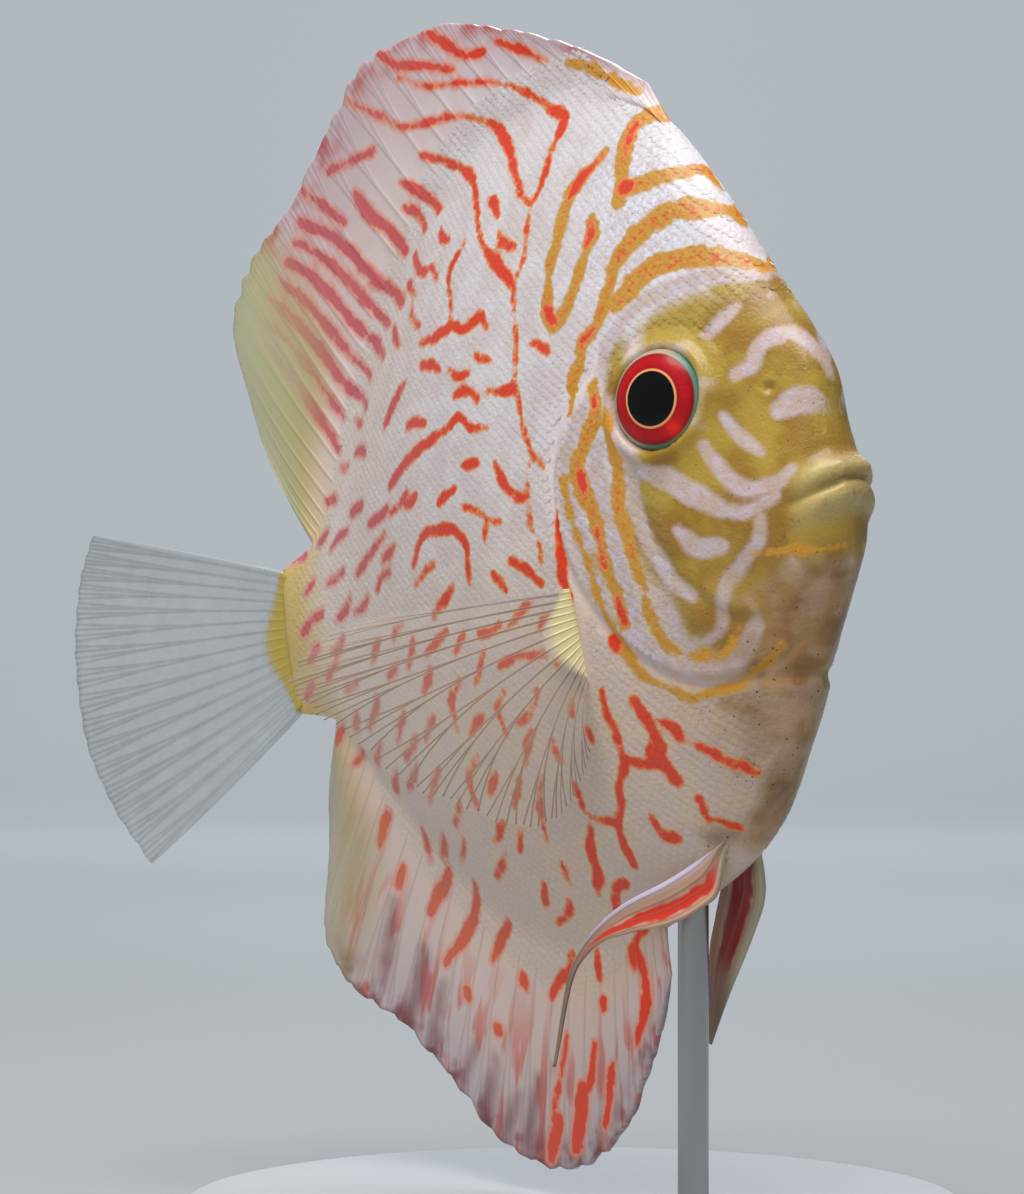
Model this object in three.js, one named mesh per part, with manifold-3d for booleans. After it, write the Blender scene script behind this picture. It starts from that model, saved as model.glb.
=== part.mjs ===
// A discus fish as a life-size still model, held on a plain display stand.
// Millimetres, +Z up. The fish swims towards +X, its left side faces +Y, and the
// origin is the centre of the stand's underside.
//
// The fish is drawn in its own side view first: "back" is the distance behind the
// snout, "up" the height above the mouth, "out" the distance from the middle plane.

import * as THREE from "three";
import { mergeVertices } from "three/addons/utils/BufferGeometryUtils.js";
import Module from "manifold-3d";

const wasm = await Module();
wasm.setup();

// Driving dimensions

const BODY_LENGTH = 118; // snout to the end of the tail stalk
const GAP = 0.3; // between nodes that touch
const FINEST_EDGE = 0.02; // an edge that a cut leaves shorter than this is closed up
const PITCH_DEG = 10.8; // nose up
const PIVOT_BACK = 58; // the point of the side view that stands over the base
const PIVOT_HEIGHT = 94; // its height above the floor
const TAIL_BEND_START = 92; // behind this the tail swings to the right
const TAIL_BEND = 0.0034; // sideways mm per mm squared

const FIN_EDGE = 0.26; // half thickness of a fin's membrane at its edge
const FIN_ROOT = 0.75; // and at its root
const RAY_RISE = 0.3; // how far a ray stands out of the membrane
const FIN_SINK = 2.5; // how deep a fin's sheet runs in before it is cut to the body

const MEMBRANE_TAPER = 0.6; // how soon the membrane thins: 1 would be evenly
const RAY_TAPER = 0.7; // and how soon a ray sinks back into it

const EYE = { back: 26.6, up: 13.2, radius: 6.5, turnDeg: 16, bulge: 2.6, depth: 3.4, letIn: 0.2 };
const ORBIT = { rise: 0.9, beyond: 0.8, width: 1.7 }; // the swelling round the eye
const NOSTRIL = { back: 11.8, up: 11.6, radius: 0.9, lift: 0.1 };

const ROD = { back: 43.5, radius: 2, sink: 7, sides: 24 };
const BASE = { radius: 52, height: 8, bevel: 1, socket: 5, sides: 48 };

// The body's outline without fins: [back, up].
const TOP_LINE = [
  [3.6, 0.8], [4.4, 5], [5, 9], [6, 13], [8.8, 19], [14.6, 28.5], [21.6, 41],
  [28.8, 51.2], [37, 57.6], [47, 60.6], [60, 60], [74, 54.8], [86, 45],
  [96, 33], [104, 21.5], [110, 12.6], [118, 9.4],
];
const BOTTOM_LINE = [
  [3.6, -2.4], [5, -7], [7.2, -12], [10.4, -17.5], [15.4, -25.4], [20.8, -34],
  [27.4, -42.2], [34.5, -46.6], [43, -49.6], [53, -52.4], [64, -53], [76, -49.6],
  [88, -40.8], [98, -30], [105.5, -20], [111, -13.8], [118, -11.6],
];
// The widest half width of each section, and the height it is at: [back, value].
const HALF_WIDTH = [
  [3.6, 2.4], [6, 4.4], [10, 6], [16, 8], [24, 10.2], [34, 12.4], [46, 13.8], [58, 13.8],
  [74, 12], [90, 8.4], [102, 5.4], [110, 3.9], [118, 3],
];
const WIDEST_UP = [[3.6, -0.8], [10, 0], [24, 2], [44, -2], [80, -2], [118, -1]];
// How lens-like a section is above and below: 0.5 is round, 1 comes to a sharp keel.
const KEEL_ABOVE = [
  [3.6, 0.5], [14, 0.56], [30, 0.78], [44, 0.96], [96, 0.96], [112, 0.6], [118, 0.6],
];
const KEEL_BELOW = [
  [3.6, 0.5], [14, 0.6], [26, 0.52], [40, 0.62], [54, 0.92], [96, 0.94], [112, 0.6], [118, 0.6],
];
// Cheek, temple and the hollow above the snout: [height, back, up, half length, half height].
const HEAD_FOLDS = [[0.9, 20, -6, 10, 9], [-0.8, 26, 30, 7, 9], [-0.7, 11, 8, 4, 6]];
const FOLD_FADE = 0.25; // share of a section over which the folds die away at its keels
const THINNEST = 0.01; // least half width of the body
const FRONT_SECTIONS = { count: 21, end: 46, crowding: 1.35 };
const REAR_SECTIONS = 14;
const RING_HALF = 22; // points up one side of a section

// The gill cover's margin and the line where it meets the cheek: [back, up].
const GILL_MARGIN = [
  [35.5, 20], [41.5, 15], [44.6, 7.5], [44.4, -1], [40.6, -10.5], [35, -17.6],
  [27.6, -22.4], [19.5, -22.4], [13.4, -18.6],
];
const CHEEK_LINE = [
  [33.5, 14], [31.4, 5], [29.4, -4], [24.6, -12.4], [18.6, -16.8], [13.4, -17.4],
];
// Where the head is parted from the trunk, from the nape down the gill margin to the throat.
const PARTING = [
  [28, 75], [30.5, 52], [33.5, 36], [37.5, 24], ...GILL_MARGIN.slice(1, 7),
  [20, -25], [13.5, -29], [7, -40],
];
const STALK_BACK = 106; // where the trunk is parted from the tail stalk
const COVER_RISE = 0.5; // how far the gill cover stands proud of the cheek
const COVER_DEPTH = 1.6; // how deep it is let in
const COVER_INSIDE = 2; // nothing of it lies nearer the middle plane than this

// Lips: thick rolls round the snout. Each point is [back, up, out, radius], right half.
const UPPER_LIP = [
  [5.2, 1.3, 0, 1.8], [5.5, 1.2, 1.6, 1.8], [6.5, 0.7, 3, 1.7], [8.3, -0.6, 4.2, 1.45],
  [10, -2.3, 5, 1],
];
const LOWER_LIP = [
  [4.8, -3.1, 0, 1.7], [5.1, -3.2, 1.5, 1.7], [5.9, -3.5, 2.7, 1.55], [7.5, -4.3, 3.9, 1.3],
  [9.2, -5, 4.6, 0.9],
];
const LIP = { halfSections: 10, sides: 10, probe: 0.02, endShare: 0.55 };

// Fin rays that fix each fin's shape: [root back, tip back, tip up].
const DORSAL_RAYS = [
  [29, 32.5, 57.6], [37, 45.5, 66.4], [48, 59.5, 73], [60, 74, 77.6], [72, 86.5, 77],
  [83, 98.5, 69.6], [93, 109.5, 60.6], [101, 117.5, 54], [106, 122, 44],
  [109.4, 120, 31], [111.6, 115, 18.5],
];
const ANAL_RAYS = [
  [49, 49.6, -58], [53, 54.4, -68], [59, 62.5, -77], [67, 74, -81], [76, 85, -77],
  [85, 96, -66.4], [93, 106, -57.4], [100, 115, -50], [105, 117.6, -42],
  [108.6, 115.4, -31], [111, 113, -20.5],
];
const DORSAL_RAY_COUNT = 22;
const ANAL_RAY_COUNT = 20;
const MEDIAN_ROWS = 6; // steps along a ray
const NOTCH = 0.9; // how far the membrane ends short of its rays
const SHORTEST_RAY = 4; // a ray shorter than this is notched as if it were this long

// The tail fin's fan: [tip back, tip up] from its upper to its lower corner.
const CAUDAL_TIPS = [[151, 21], [154.4, 14], [155.6, 4], [155.4, -8], [153, -19], [147.5, -29]];
const CAUDAL = { back: 117.4, top: 8.6, bottom: -10.8, rayCount: 15, rows: 7, webShare: 0.98 };

// The pectoral fan, seen square on: [length, degrees below straight out].
const PECTORAL_RAYS = [
  [28, 1], [36, 5], [38.4, 8], [36.4, 12], [32.4, 20], [29.6, 33], [26.4, 43],
  [24.4, 57], [21, 67], [15.6, 73], [9, 78],
];
const PECTORAL = {
  back: 45,
  top: -7.6,
  bottom: -19.6,
  letIn: 1.2,
  sweepDeg: 48,
  cup: 2.4,
  cupSpan: 0.8,
  rayCount: 11,
  rows: 7,
  webShare: 0.97,
  droopAtRoot: 0.86,
  droopAtTip: 1.06,
  stout: 0.7,
  stoutSpan: 0.12,
};

// Each pelvic fin's lead ray from its root, [back, rise, out], and the blade's width along it.
const PELVIC_LEADS = {
  left: [[0, 2.5, -0.6], [2, -4, 1.2], [6.5, -9.5, 2.2], [12, -15.5, 2.8], [17, -22, 3]],
  right: [[-1, 2.5, -0.8], [6, -1, 2.6], [14, -3.8, 5.6], [20.5, -9.5, 8.4], [25, -22.5, 10.4]],
};
const PELVIC_WIDTHS = {
  left: [[0, 5], [0.3, 7], [0.6, 6], [0.85, 3], [1, 0.8]],
  right: [[0, 5], [0.25, 5.4], [0.5, 4], [0.7, 1.6], [1, 0.7]],
};
// The way each blade spreads from its lead ray, [ahead, up].
const PELVIC_SPREAD = { left: [-1, 0.1], right: [0.25, -1] };
const PELVIC = { back: 33.5, up: -45, out: 3.6, rayCount: 4, rows: 12, stout: 0.7, stoutSpan: 0.16 };

// Helpers for curves and solids

const SIDES = { left: 1, right: -1 };
const SAME_POINT = 1e-4; // points nearer than this are one
const SHARPEST_MITRE = 0.35; // keeps a grown outline's narrow corners short
const radians = THREE.MathUtils.degToRad;
const lerp = THREE.MathUtils.lerp;
const clamp = THREE.MathUtils.clamp;

// A smooth function through [x, y] points that never overshoots them.
function through(points) {
  const n = points.length;
  const step = (i) => points[i + 1][0] - points[i][0];
  const slope = (i) => (points[i + 1][1] - points[i][1]) / step(i);
  const tangents = points.map((_, i) => {
    if (i === 0) return slope(0);
    if (i === n - 1) return slope(n - 2);
    const before = slope(i - 1);
    const after = slope(i);
    return before * after <= 0 ? 0 : (2 * before * after) / (before + after);
  });
  return (x) => {
    const at = clamp(x, points[0][0], points[n - 1][0]);
    let i = 0;
    while (i < n - 2 && at > points[i + 1][0]) i += 1;
    const h = step(i);
    const t = (at - points[i][0]) / h;
    const rise = points[i + 1][1] - points[i][1];
    return (
      points[i][1] +
      rise * t * t * (3 - 2 * t) +
      h * t * (1 - t) * (tangents[i] * (1 - t) - tangents[i + 1] * t)
    );
  };
}

// Values of each column of rows, evenly spaced and smooth, at share t of the list.
function alongRows(rows) {
  const columns = rows[0].map((_, c) => through(rows.map((row, i) => [i, row[c]])));
  return (t) => columns.map((f) => f(t * (rows.length - 1)));
}

const bump = (x, width) => Math.exp(-((x / width) ** 2));

// A list of made values, one for each whole number below count.
const listOf = (count, make) => Array.from({ length: count }, (_, i) => make(i));

// A mesh's geometry as a solid that can be cut and joined.
function solidOf(geometry) {
  const bare = new THREE.BufferGeometry().setAttribute("position", geometry.attributes.position);
  if (geometry.index) bare.setIndex(geometry.index);
  const merged = mergeVertices(bare, SAME_POINT);
  return new wasm.Manifold(
    new wasm.Mesh({
      numProp: 3,
      vertProperties: merged.attributes.position.array,
      triVerts: new Uint32Array(merged.index.array),
      tolerance: FINEST_EDGE,
    }),
  );
}

// The largest closed piece of a solid, as a geometry.
function geometryOf(solid) {
  const pieces = solid.decompose();
  const largest = pieces.reduce((a, b) => (b.volume() > a.volume() ? b : a));
  const mesh = largest.getMesh();
  return new THREE.BufferGeometry()
    .setAttribute("position", new THREE.BufferAttribute(mesh.vertProperties, 3))
    .setIndex(new THREE.BufferAttribute(mesh.triVerts, 1));
}

function indexed(points, faces) {
  const positions = new Float32Array(points.flatMap((p) => [p.x, p.y, p.z]));
  return new THREE.BufferGeometry()
    .setAttribute("position", new THREE.BufferAttribute(positions, 3))
    .setIndex(faces.flat());
}

// A closed skin over rings of equal count, each end closed by a fan.
function loft(rings) {
  const count = rings[0].length;
  const points = rings.flat();
  const faces = [];
  for (let r = 0; r < rings.length - 1; r += 1) {
    for (let i = 0; i < count; i += 1) {
      const a = r * count + i;
      const b = r * count + ((i + 1) % count);
      faces.push([a, b, b + count], [a, b + count, a + count]);
    }
  }
  const closeEnd = (ring, start, forwards) => {
    const middle = ring.reduce((sum, p) => sum.add(p), new THREE.Vector3()).divideScalar(count);
    points.push(middle);
    for (let i = 0; i < count; i += 1) {
      const a = start + i;
      const b = start + ((i + 1) % count);
      faces.push(forwards ? [points.length - 1, b, a] : [points.length - 1, a, b]);
    }
  };
  closeEnd(rings[0], 0, true);
  closeEnd(rings.at(-1), (rings.length - 1) * count, false);
  return indexed(points, faces);
}

// A closed sheet with the same triangles on both faces. rows[i][j] is { at, out, half }:
// a point of the middle surface, its unit normal and the half thickness there.
function sheet(rows) {
  const wide = rows.length;
  const long = rows[0].length;
  const points = [];
  for (const side of [1, -1]) {
    for (const row of rows) {
      for (const p of row) points.push(p.at.clone().addScaledVector(p.out, side * p.half));
    }
  }
  const faces = [];
  const under = wide * long;
  const index = (i, j) => i * long + j;
  const quad = (a, b, c, d) => faces.push([a, b, c], [a, c, d]);
  for (let i = 0; i < wide - 1; i += 1) {
    for (let j = 0; j < long - 1; j += 1) {
      const [a, b, c, d] = [index(i, j), index(i + 1, j), index(i + 1, j + 1), index(i, j + 1)];
      quad(a, b, c, d);
      faces.push([under + a, under + c, under + b], [under + a, under + d, under + c]);
    }
  }
  const wall = (a, b) => quad(b, a, under + a, under + b);
  for (let i = 0; i < wide - 1; i += 1) {
    wall(index(i, 0), index(i + 1, 0));
    wall(index(i + 1, long - 1), index(i, long - 1));
  }
  for (let j = 0; j < long - 1; j += 1) {
    wall(index(0, j + 1), index(0, j));
    wall(index(wide - 1, j), index(wide - 1, j + 1));
  }
  return indexed(points, faces);
}

// A closed sheet as a solid, turned the right way out.
function sheetSolid(rows) {
  const geometry = sheet(rows);
  const solid = solidOf(geometry);
  if (solid.volume() > 0) return solid;
  const order = geometry.index.array;
  for (let i = 0; i < order.length; i += 3) {
    [order[i + 1], order[i + 2]] = [order[i + 2], order[i + 1]];
  }
  return solidOf(geometry);
}

// A prism along Y whose side view is the outline given as [back, up].
function prism(outline, fromOut, toOut) {
  const shape = new THREE.Shape(outline.map(([back, up]) => new THREE.Vector2(-back, up)));
  const block = new THREE.ExtrudeGeometry(shape, { depth: toOut - fromOut, bevelEnabled: false });
  block.rotateX(Math.PI / 2);
  block.translate(0, toOut, 0);
  return solidOf(block);
}

// Points of a smooth line through [back, up] points, moved sideways by shift.
function smoothLine(points, pieces, shift = 0) {
  const curve = new THREE.SplineCurve(points.map(([back, up]) => new THREE.Vector2(back, up)));
  return curve.getSpacedPoints(pieces).map((p, i) => {
    const along = curve.getTangentAt(i / pieces);
    return [p.x - along.y * shift, p.y + along.x * shift];
  });
}

// A closed outline of [back, up] points, every edge moved outwards by grow.
function grownLoop(points, grow) {
  const corners = points.map(([back, up]) => new THREE.Vector2(back, up));
  const turn = Math.sign(THREE.ShapeUtils.area(corners));
  const edge = (i) => corners[(i + 1) % corners.length].clone().sub(corners[i]).normalize();
  return corners.map((corner, i) => {
    const before = edge((i + corners.length - 1) % corners.length);
    const sum = edge(i).add(before).normalize();
    const outward = new THREE.Vector2(sum.y, -sum.x).multiplyScalar(turn);
    const stretch = 1 / Math.max(sum.dot(before), SHARPEST_MITRE);
    return [corner.x + outward.x * grow * stretch, corner.y + outward.y * grow * stretch];
  });
}

// The body

const topAt = through(TOP_LINE);
const bottomAt = through(BOTTOM_LINE);
const halfWidthAt = through(HALF_WIDTH);
const widestUpAt = through(WIDEST_UP);
const keelAbove = through(KEEL_ABOVE);
const keelBelow = through(KEEL_BELOW);

// How far the folds of the head stand out of the smooth section.
function headRelief(back, up) {
  const beyondEye = Math.hypot(back - EYE.back, up - EYE.up) - EYE.radius;
  const orbit = ORBIT.rise * bump(beyondEye - ORBIT.beyond, ORBIT.width);
  return HEAD_FOLDS.reduce((sum, [height, foldBack, foldUp, long, tall]) => {
    const away = Math.hypot((back - foldBack) / long, (up - foldUp) / tall);
    return sum + height * bump(away, 1);
  }, orbit);
}

function halfWidth(back, up) {
  const middle = widestUpAt(back);
  const above = up >= middle;
  const reach = above ? topAt(back) - middle : middle - bottomAt(back);
  const share = clamp(Math.abs(up - middle) / reach, 0, 1);
  const keel = (above ? keelAbove : keelBelow)(back);
  const plain = halfWidthAt(back) * (1 - share * share) ** keel;
  const fade = clamp((1 - share) / FOLD_FADE, 0, 1);
  return Math.max(plain + fade * headRelief(back, up), THINNEST);
}

const SNOUT = TOP_LINE[0][0];
const { count: frontCount, end: frontEnd, crowding } = FRONT_SECTIONS;
const sections = [
  ...listOf(frontCount, (i) => lerp(SNOUT, frontEnd, (i / frontCount) ** crowding)),
  ...listOf(REAR_SECTIONS, (i) => lerp(frontEnd, BODY_LENGTH, i / (REAR_SECTIONS - 1))),
];

function bodyRing(back) {
  const middle = widestUpAt(back);
  const side = (i, sign) => {
    const angle = (Math.PI * i) / RING_HALF;
    const reach = angle < Math.PI / 2 ? topAt(back) - middle : middle - bottomAt(back);
    const up = middle + reach * Math.cos(angle);
    const out = i === 0 || i === RING_HALF ? 0 : sign * halfWidth(back, up);
    return new THREE.Vector3(-back, out, up);
  };
  const left = listOf(RING_HALF + 1, (i) => side(i, 1));
  const right = listOf(RING_HALF - 1, (i) => side(RING_HALF - 1 - i, -1));
  return [...left, ...right];
}

const bodyGeometry = loft(sections.map(bodyRing));
bodyGeometry.computeVertexNormals();

// The whole body, its skin moved out by grow.
function body(grow) {
  const moved = bodyGeometry.clone();
  const at = moved.attributes.position;
  const normal = bodyGeometry.attributes.normal;
  for (let i = 0; i < at.count; i += 1) {
    at.setXYZ(
      i,
      at.getX(i) + normal.getX(i) * grow,
      at.getY(i) + normal.getY(i) * grow,
      at.getZ(i) + normal.getZ(i) * grow,
    );
  }
  return solidOf(moved);
}

const plainBody = body(0);
const clearOfBody = body(GAP);

// Outlines that part the body

const WIDE = 60; // half width of a cutting prism
const CUT = { ahead: -12, behind: BODY_LENGTH + 5, low: -75, high: 90 }; // clear of the body
const LINE_PIECES = { parting: 36, margin: 20, cheek: 12 };
const partingLine = (shift) => smoothLine(PARTING, LINE_PIECES.parting, shift);
const headOutline = [
  ...partingLine(-GAP / 2),
  [CUT.ahead, PARTING.at(-1)[1]],
  [CUT.ahead, PARTING[0][1]],
];
const trunkEnd = STALK_BACK - GAP / 2;
const stalkStart = STALK_BACK + GAP / 2;
const trunkOutline = [...partingLine(GAP / 2), [trunkEnd, CUT.low], [trunkEnd, CUT.high]];
const stalkOutline = [
  [stalkStart, CUT.low],
  [CUT.behind, CUT.low],
  [CUT.behind, CUT.high],
  [stalkStart, CUT.high],
];
const coverOutline = [
  ...smoothLine(GILL_MARGIN, LINE_PIECES.margin),
  ...smoothLine(CHEEK_LINE, LINE_PIECES.cheek).reverse(),
];

// The column of space over the gill cover of one side, its walls moved out by grow.
function coverColumn(side, grow) {
  const outline = grownLoop(coverOutline, grow);
  const near = COVER_INSIDE - grow;
  return side < 0 ? prism(outline, -WIDE, -near) : prism(outline, near, WIDE);
}

const gillCover = (side) =>
  body(COVER_RISE).intersect(coverColumn(side, 0)).subtract(body(-COVER_DEPTH));
const gillRecess = (side) => coverColumn(side, GAP).subtract(body(-COVER_DEPTH - GAP));

// Eyes, nostrils and lips

// The globe as a turned solid about its own optical axis, then set in the head.
function eyeball(side, grow) {
  const steps = 10; // from the back pole to the front pole
  const spokes = 24;
  const profile = [];
  for (let i = 0; i <= steps; i += 1) {
    const angle = (Math.PI * i) / steps - Math.PI / 2;
    const depth = angle < 0 ? EYE.depth : EYE.bulge;
    const radius = i === 0 || i === steps ? 0 : (EYE.radius + grow) * Math.cos(angle);
    profile.push(new THREE.Vector2(radius, (depth + grow) * Math.sin(angle)));
  }
  const globe = new THREE.LatheGeometry(profile, spokes);
  if (side < 0) globe.rotateX(Math.PI);
  globe.rotateZ(side * -radians(EYE.turnDeg));
  globe.translate(-EYE.back, side * (halfWidth(EYE.back, EYE.up) - EYE.letIn), EYE.up);
  return solidOf(globe);
}

const nostril = (side) => {
  const pit = new THREE.SphereGeometry(NOSTRIL.radius, 10, 8);
  const out = halfWidth(NOSTRIL.back, NOSTRIL.up) + NOSTRIL.lift;
  pit.translate(-NOSTRIL.back, side * out, NOSTRIL.up);
  return solidOf(pit);
};

// A lip as a roll that follows its points from one corner of the mouth to the other.
function lip(points, grow) {
  const { halfSections, sides, probe, endShare } = LIP;
  const at = alongRows(points);
  const rings = [];
  for (let i = -halfSections; i <= halfSections; i += 1) {
    const share = Math.abs(i) / halfSections;
    const [back, up, out, radius] = at(share);
    const next = at(Math.min(share + probe, 1));
    const last = at(Math.max(share - probe, 0));
    const turn = new THREE.Vector3(last[0] - next[0], next[2] - last[2], next[1] - last[1]);
    if (i === 0) turn.set(0, 1, 0);
    if (i < 0) turn.set(-turn.x, turn.y, -turn.z);
    turn.normalize();
    const upward = new THREE.Vector3(0, 0, 1);
    const across = new THREE.Vector3().crossVectors(upward, turn).normalize();
    const rise = new THREE.Vector3().crossVectors(turn, across).normalize();
    const centre = new THREE.Vector3(-back, Math.sign(i) * out, up);
    const thickness = radius * (share === 1 ? endShare : 1) + grow;
    rings.push(
      listOf(sides, (k) => {
        const angle = (2 * Math.PI * k) / sides;
        return centre
          .clone()
          .addScaledVector(across, thickness * Math.cos(angle))
          .addScaledVector(rise, thickness * Math.sin(angle));
      }),
    );
  }
  const solid = solidOf(loft(rings));
  return solid.volume() > 0 ? solid : solidOf(loft(rings.reverse()));
}

// Fins

// Half thickness of a fin at a share of the way from its root to its tip.
function finHalf(share, onRay) {
  const membrane = lerp(FIN_ROOT, FIN_EDGE, share ** MEMBRANE_TAPER);
  return membrane + (onRay ? RAY_RISE * (1 - share) ** RAY_TAPER : 0);
}

// A fin of the middle plane. Its rays start inside the body and are fixed by shapeRays.
function medianFin(shapeRays, rayCount, rootUp) {
  const rayAt = alongRows(shapeRays);
  const columns = rayCount * 2 + 1;
  const grid = [];
  for (let i = 0; i < columns; i += 1) {
    const onRay = i % 2 === 1;
    const [rootBack, tipBack, tipUp] = rayAt(i / (columns - 1));
    const root = new THREE.Vector3(-rootBack, 0, rootUp(rootBack));
    const tip = new THREE.Vector3(-tipBack, 0, tipUp);
    const ray = tip.clone().sub(root);
    const tipShare = onRay ? 1 : 1 - NOTCH / Math.max(ray.length(), SHORTEST_RAY);
    const start = -FIN_SINK / ray.length();
    const row = [];
    for (let j = 0; j <= MEDIAN_ROWS; j += 1) {
      const share = lerp(start, tipShare, j / MEDIAN_ROWS);
      row.push({
        at: root.clone().addScaledVector(ray, share),
        out: new THREE.Vector3(0, 1, 0),
        half: finHalf(clamp(share, 0, 1), onRay),
      });
    }
    grid.push(row);
  }
  return sheetSolid(grid).subtract(clearOfBody);
}

const dorsalFin = () => medianFin(DORSAL_RAYS, DORSAL_RAY_COUNT, topAt);
const analFin = () => medianFin(ANAL_RAYS, ANAL_RAY_COUNT, bottomAt);

function caudalFin() {
  const tipAt = alongRows(CAUDAL_TIPS);
  const columns = CAUDAL.rayCount * 2 + 1;
  const grid = [];
  for (let i = 0; i < columns; i += 1) {
    const across = i / (columns - 1);
    const onRay = i % 2 === 1;
    const [tipBack, tipUp] = tipAt(across);
    const root = new THREE.Vector3(-CAUDAL.back, 0, lerp(CAUDAL.top, CAUDAL.bottom, across));
    const ray = new THREE.Vector3(-tipBack, 0, tipUp).sub(root);
    const tipShare = onRay ? 1 : CAUDAL.webShare;
    grid.push(
      listOf(CAUDAL.rows + 1, (j) => {
        const share = tipShare * (j / CAUDAL.rows);
        return {
          at: root.clone().addScaledVector(ray, share),
          out: new THREE.Vector3(0, 1, 0),
          half: finHalf(share, onRay),
        };
      }),
    );
  }
  return sheetSolid(grid).subtract(clearOfBody);
}

// A pectoral fin: a fan of rays spread from a short upright root, cupped a little.
function pectoralFin(side) {
  const rayAt = alongRows(PECTORAL_RAYS);
  const sweep = radians(PECTORAL.sweepDeg);
  const outwards = new THREE.Vector3(-Math.cos(sweep), side * Math.sin(sweep), 0);
  const downwards = new THREE.Vector3(0, 0, -1);
  const normal = new THREE.Vector3(Math.sin(sweep), side * Math.cos(sweep), 0);
  const columns = PECTORAL.rayCount * 2 + 1;
  const grid = [];
  for (let i = 0; i < columns; i += 1) {
    const across = i / (columns - 1);
    const onRay = i % 2 === 1;
    const [length, angleDeg] = rayAt(across);
    const up = lerp(PECTORAL.top, PECTORAL.bottom, across);
    const rootOut = halfWidth(PECTORAL.back, up) - PECTORAL.letIn;
    const root = new THREE.Vector3(-PECTORAL.back, side * rootOut, up);
    const turn = radians(angleDeg);
    const row = [];
    for (let j = 0; j <= PECTORAL.rows; j += 1) {
      const share = j / PECTORAL.rows;
      const reach = length * share * (onRay ? 1 : PECTORAL.webShare);
      const droop = turn * lerp(PECTORAL.droopAtRoot, PECTORAL.droopAtTip, share);
      const cup = PECTORAL.cup * Math.sin(Math.PI * share * PECTORAL.cupSpan);
      const stout = PECTORAL.stout * bump(share, PECTORAL.stoutSpan);
      const at = root
        .clone()
        .addScaledVector(outwards, reach * Math.cos(droop))
        .addScaledVector(downwards, reach * Math.sin(droop))
        .addScaledVector(normal, cup);
      row.push({ at, out: normal, half: finHalf(share, onRay) + stout });
    }
    grid.push(row);
  }
  const nearCover = body(COVER_RISE + GAP).intersect(coverColumn(side, GAP));
  return sheetSolid(grid).subtract(clearOfBody).subtract(nearCover);
}

// A pelvic fin: a pointed blade behind a stout lead ray.
function pelvicFin(name) {
  const side = SIDES[name];
  const widthAt = through(PELVIC_WIDTHS[name]);
  const lead = new THREE.CatmullRomCurve3(
    PELVIC_LEADS[name].map(
      ([back, rise, out]) =>
        new THREE.Vector3(-PELVIC.back - back, side * (PELVIC.out + out), PELVIC.up + rise),
    ),
  );
  const [ahead, up] = PELVIC_SPREAD[name];
  const across = new THREE.Vector3(ahead, 0, up);
  const columns = PELVIC.rayCount * 2 + 1;
  const grid = [];
  for (let i = 0; i < columns; i += 1) {
    const share = i / (columns - 1);
    const onRay = i % 2 === 0;
    const row = [];
    for (let j = 0; j <= PELVIC.rows; j += 1) {
      const along = j / PELVIC.rows;
      const tangent = lead.getTangentAt(along);
      const behind = across.clone().addScaledVector(tangent, -across.dot(tangent)).normalize();
      const normal = new THREE.Vector3().crossVectors(tangent, behind);
      const at = lead.getPointAt(along).addScaledVector(behind, share * widthAt(along));
      const stout = PELVIC.stout * bump(share, PELVIC.stoutSpan) * (1 - along);
      row.push({ at, out: normal, half: finHalf(along, onRay) + stout });
    }
    grid.push(row);
  }
  return sheetSolid(grid).subtract(clearOfBody);
}

// The stand, worked out in the floor's frame

const pitch = radians(PITCH_DEG);
const fishPlace = new THREE.Matrix4()
  .makeTranslation(0, 0, PIVOT_HEIGHT)
  .multiply(new THREE.Matrix4().makeRotationY(-pitch))
  .multiply(new THREE.Matrix4().makeTranslation(PIVOT_BACK, 0, 0));
const rodTop = new THREE.Vector3(-ROD.back, 0, bottomAt(ROD.back)).applyMatrix4(fishPlace);

function rod(grow) {
  const foot = BASE.height - BASE.socket + GAP;
  const height = rodTop.z + ROD.sink - foot;
  const radius = ROD.radius + grow;
  const bar = new THREE.CylinderGeometry(radius, radius, height + 2 * grow, ROD.sides);
  bar.rotateX(Math.PI / 2);
  bar.translate(rodTop.x, 0, foot + height / 2);
  return bar;
}

function base() {
  const { radius, height, bevel, sides } = BASE;
  const profile = [
    [0, 0], [radius - bevel, 0], [radius, bevel], [radius, height - bevel],
    [radius - bevel, height], [0, height],
  ].map(([x, y]) => new THREE.Vector2(x, y));
  const disc = new THREE.LatheGeometry(profile, sides);
  disc.rotateX(Math.PI / 2);
  return solidOf(disc).subtract(solidOf(rod(GAP)));
}

// The rod's socket in the belly, in the fish's own frame.
const rodInFish = solidOf(rod(GAP).applyMatrix4(fishPlace.clone().invert()));

// The finished nodes

// Swings the tail to the fish's right, which is -Y.
function bendTail(geometry) {
  const at = geometry.attributes.position;
  for (let i = 0; i < at.count; i += 1) {
    const behind = Math.max(-at.getX(i) - TAIL_BEND_START, 0);
    at.setY(i, at.getY(i) - TAIL_BEND * behind * behind);
  }
  return geometry;
}

const finish = {
  face: { color: "#c9a63a", roughness: 0.42, metalness: 0 },
  flank: { color: "#ddd3cd", roughness: 0.4, metalness: 0 },
  lip: { color: "#cdbd86", roughness: 0.45, metalness: 0 },
  eye: { color: "#b01020", roughness: 0.08, metalness: 0 },
  fin: { color: "#d98f80", roughness: 0.45, metalness: 0 },
  clearFin: { color: "#c9bfae", roughness: 0.35, metalness: 0 },
  lacquer: { color: "#c8cccd", roughness: 0.38, metalness: 0 },
  steel: { color: "#b9bcbe", roughness: 0.3, metalness: 1 },
};

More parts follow.
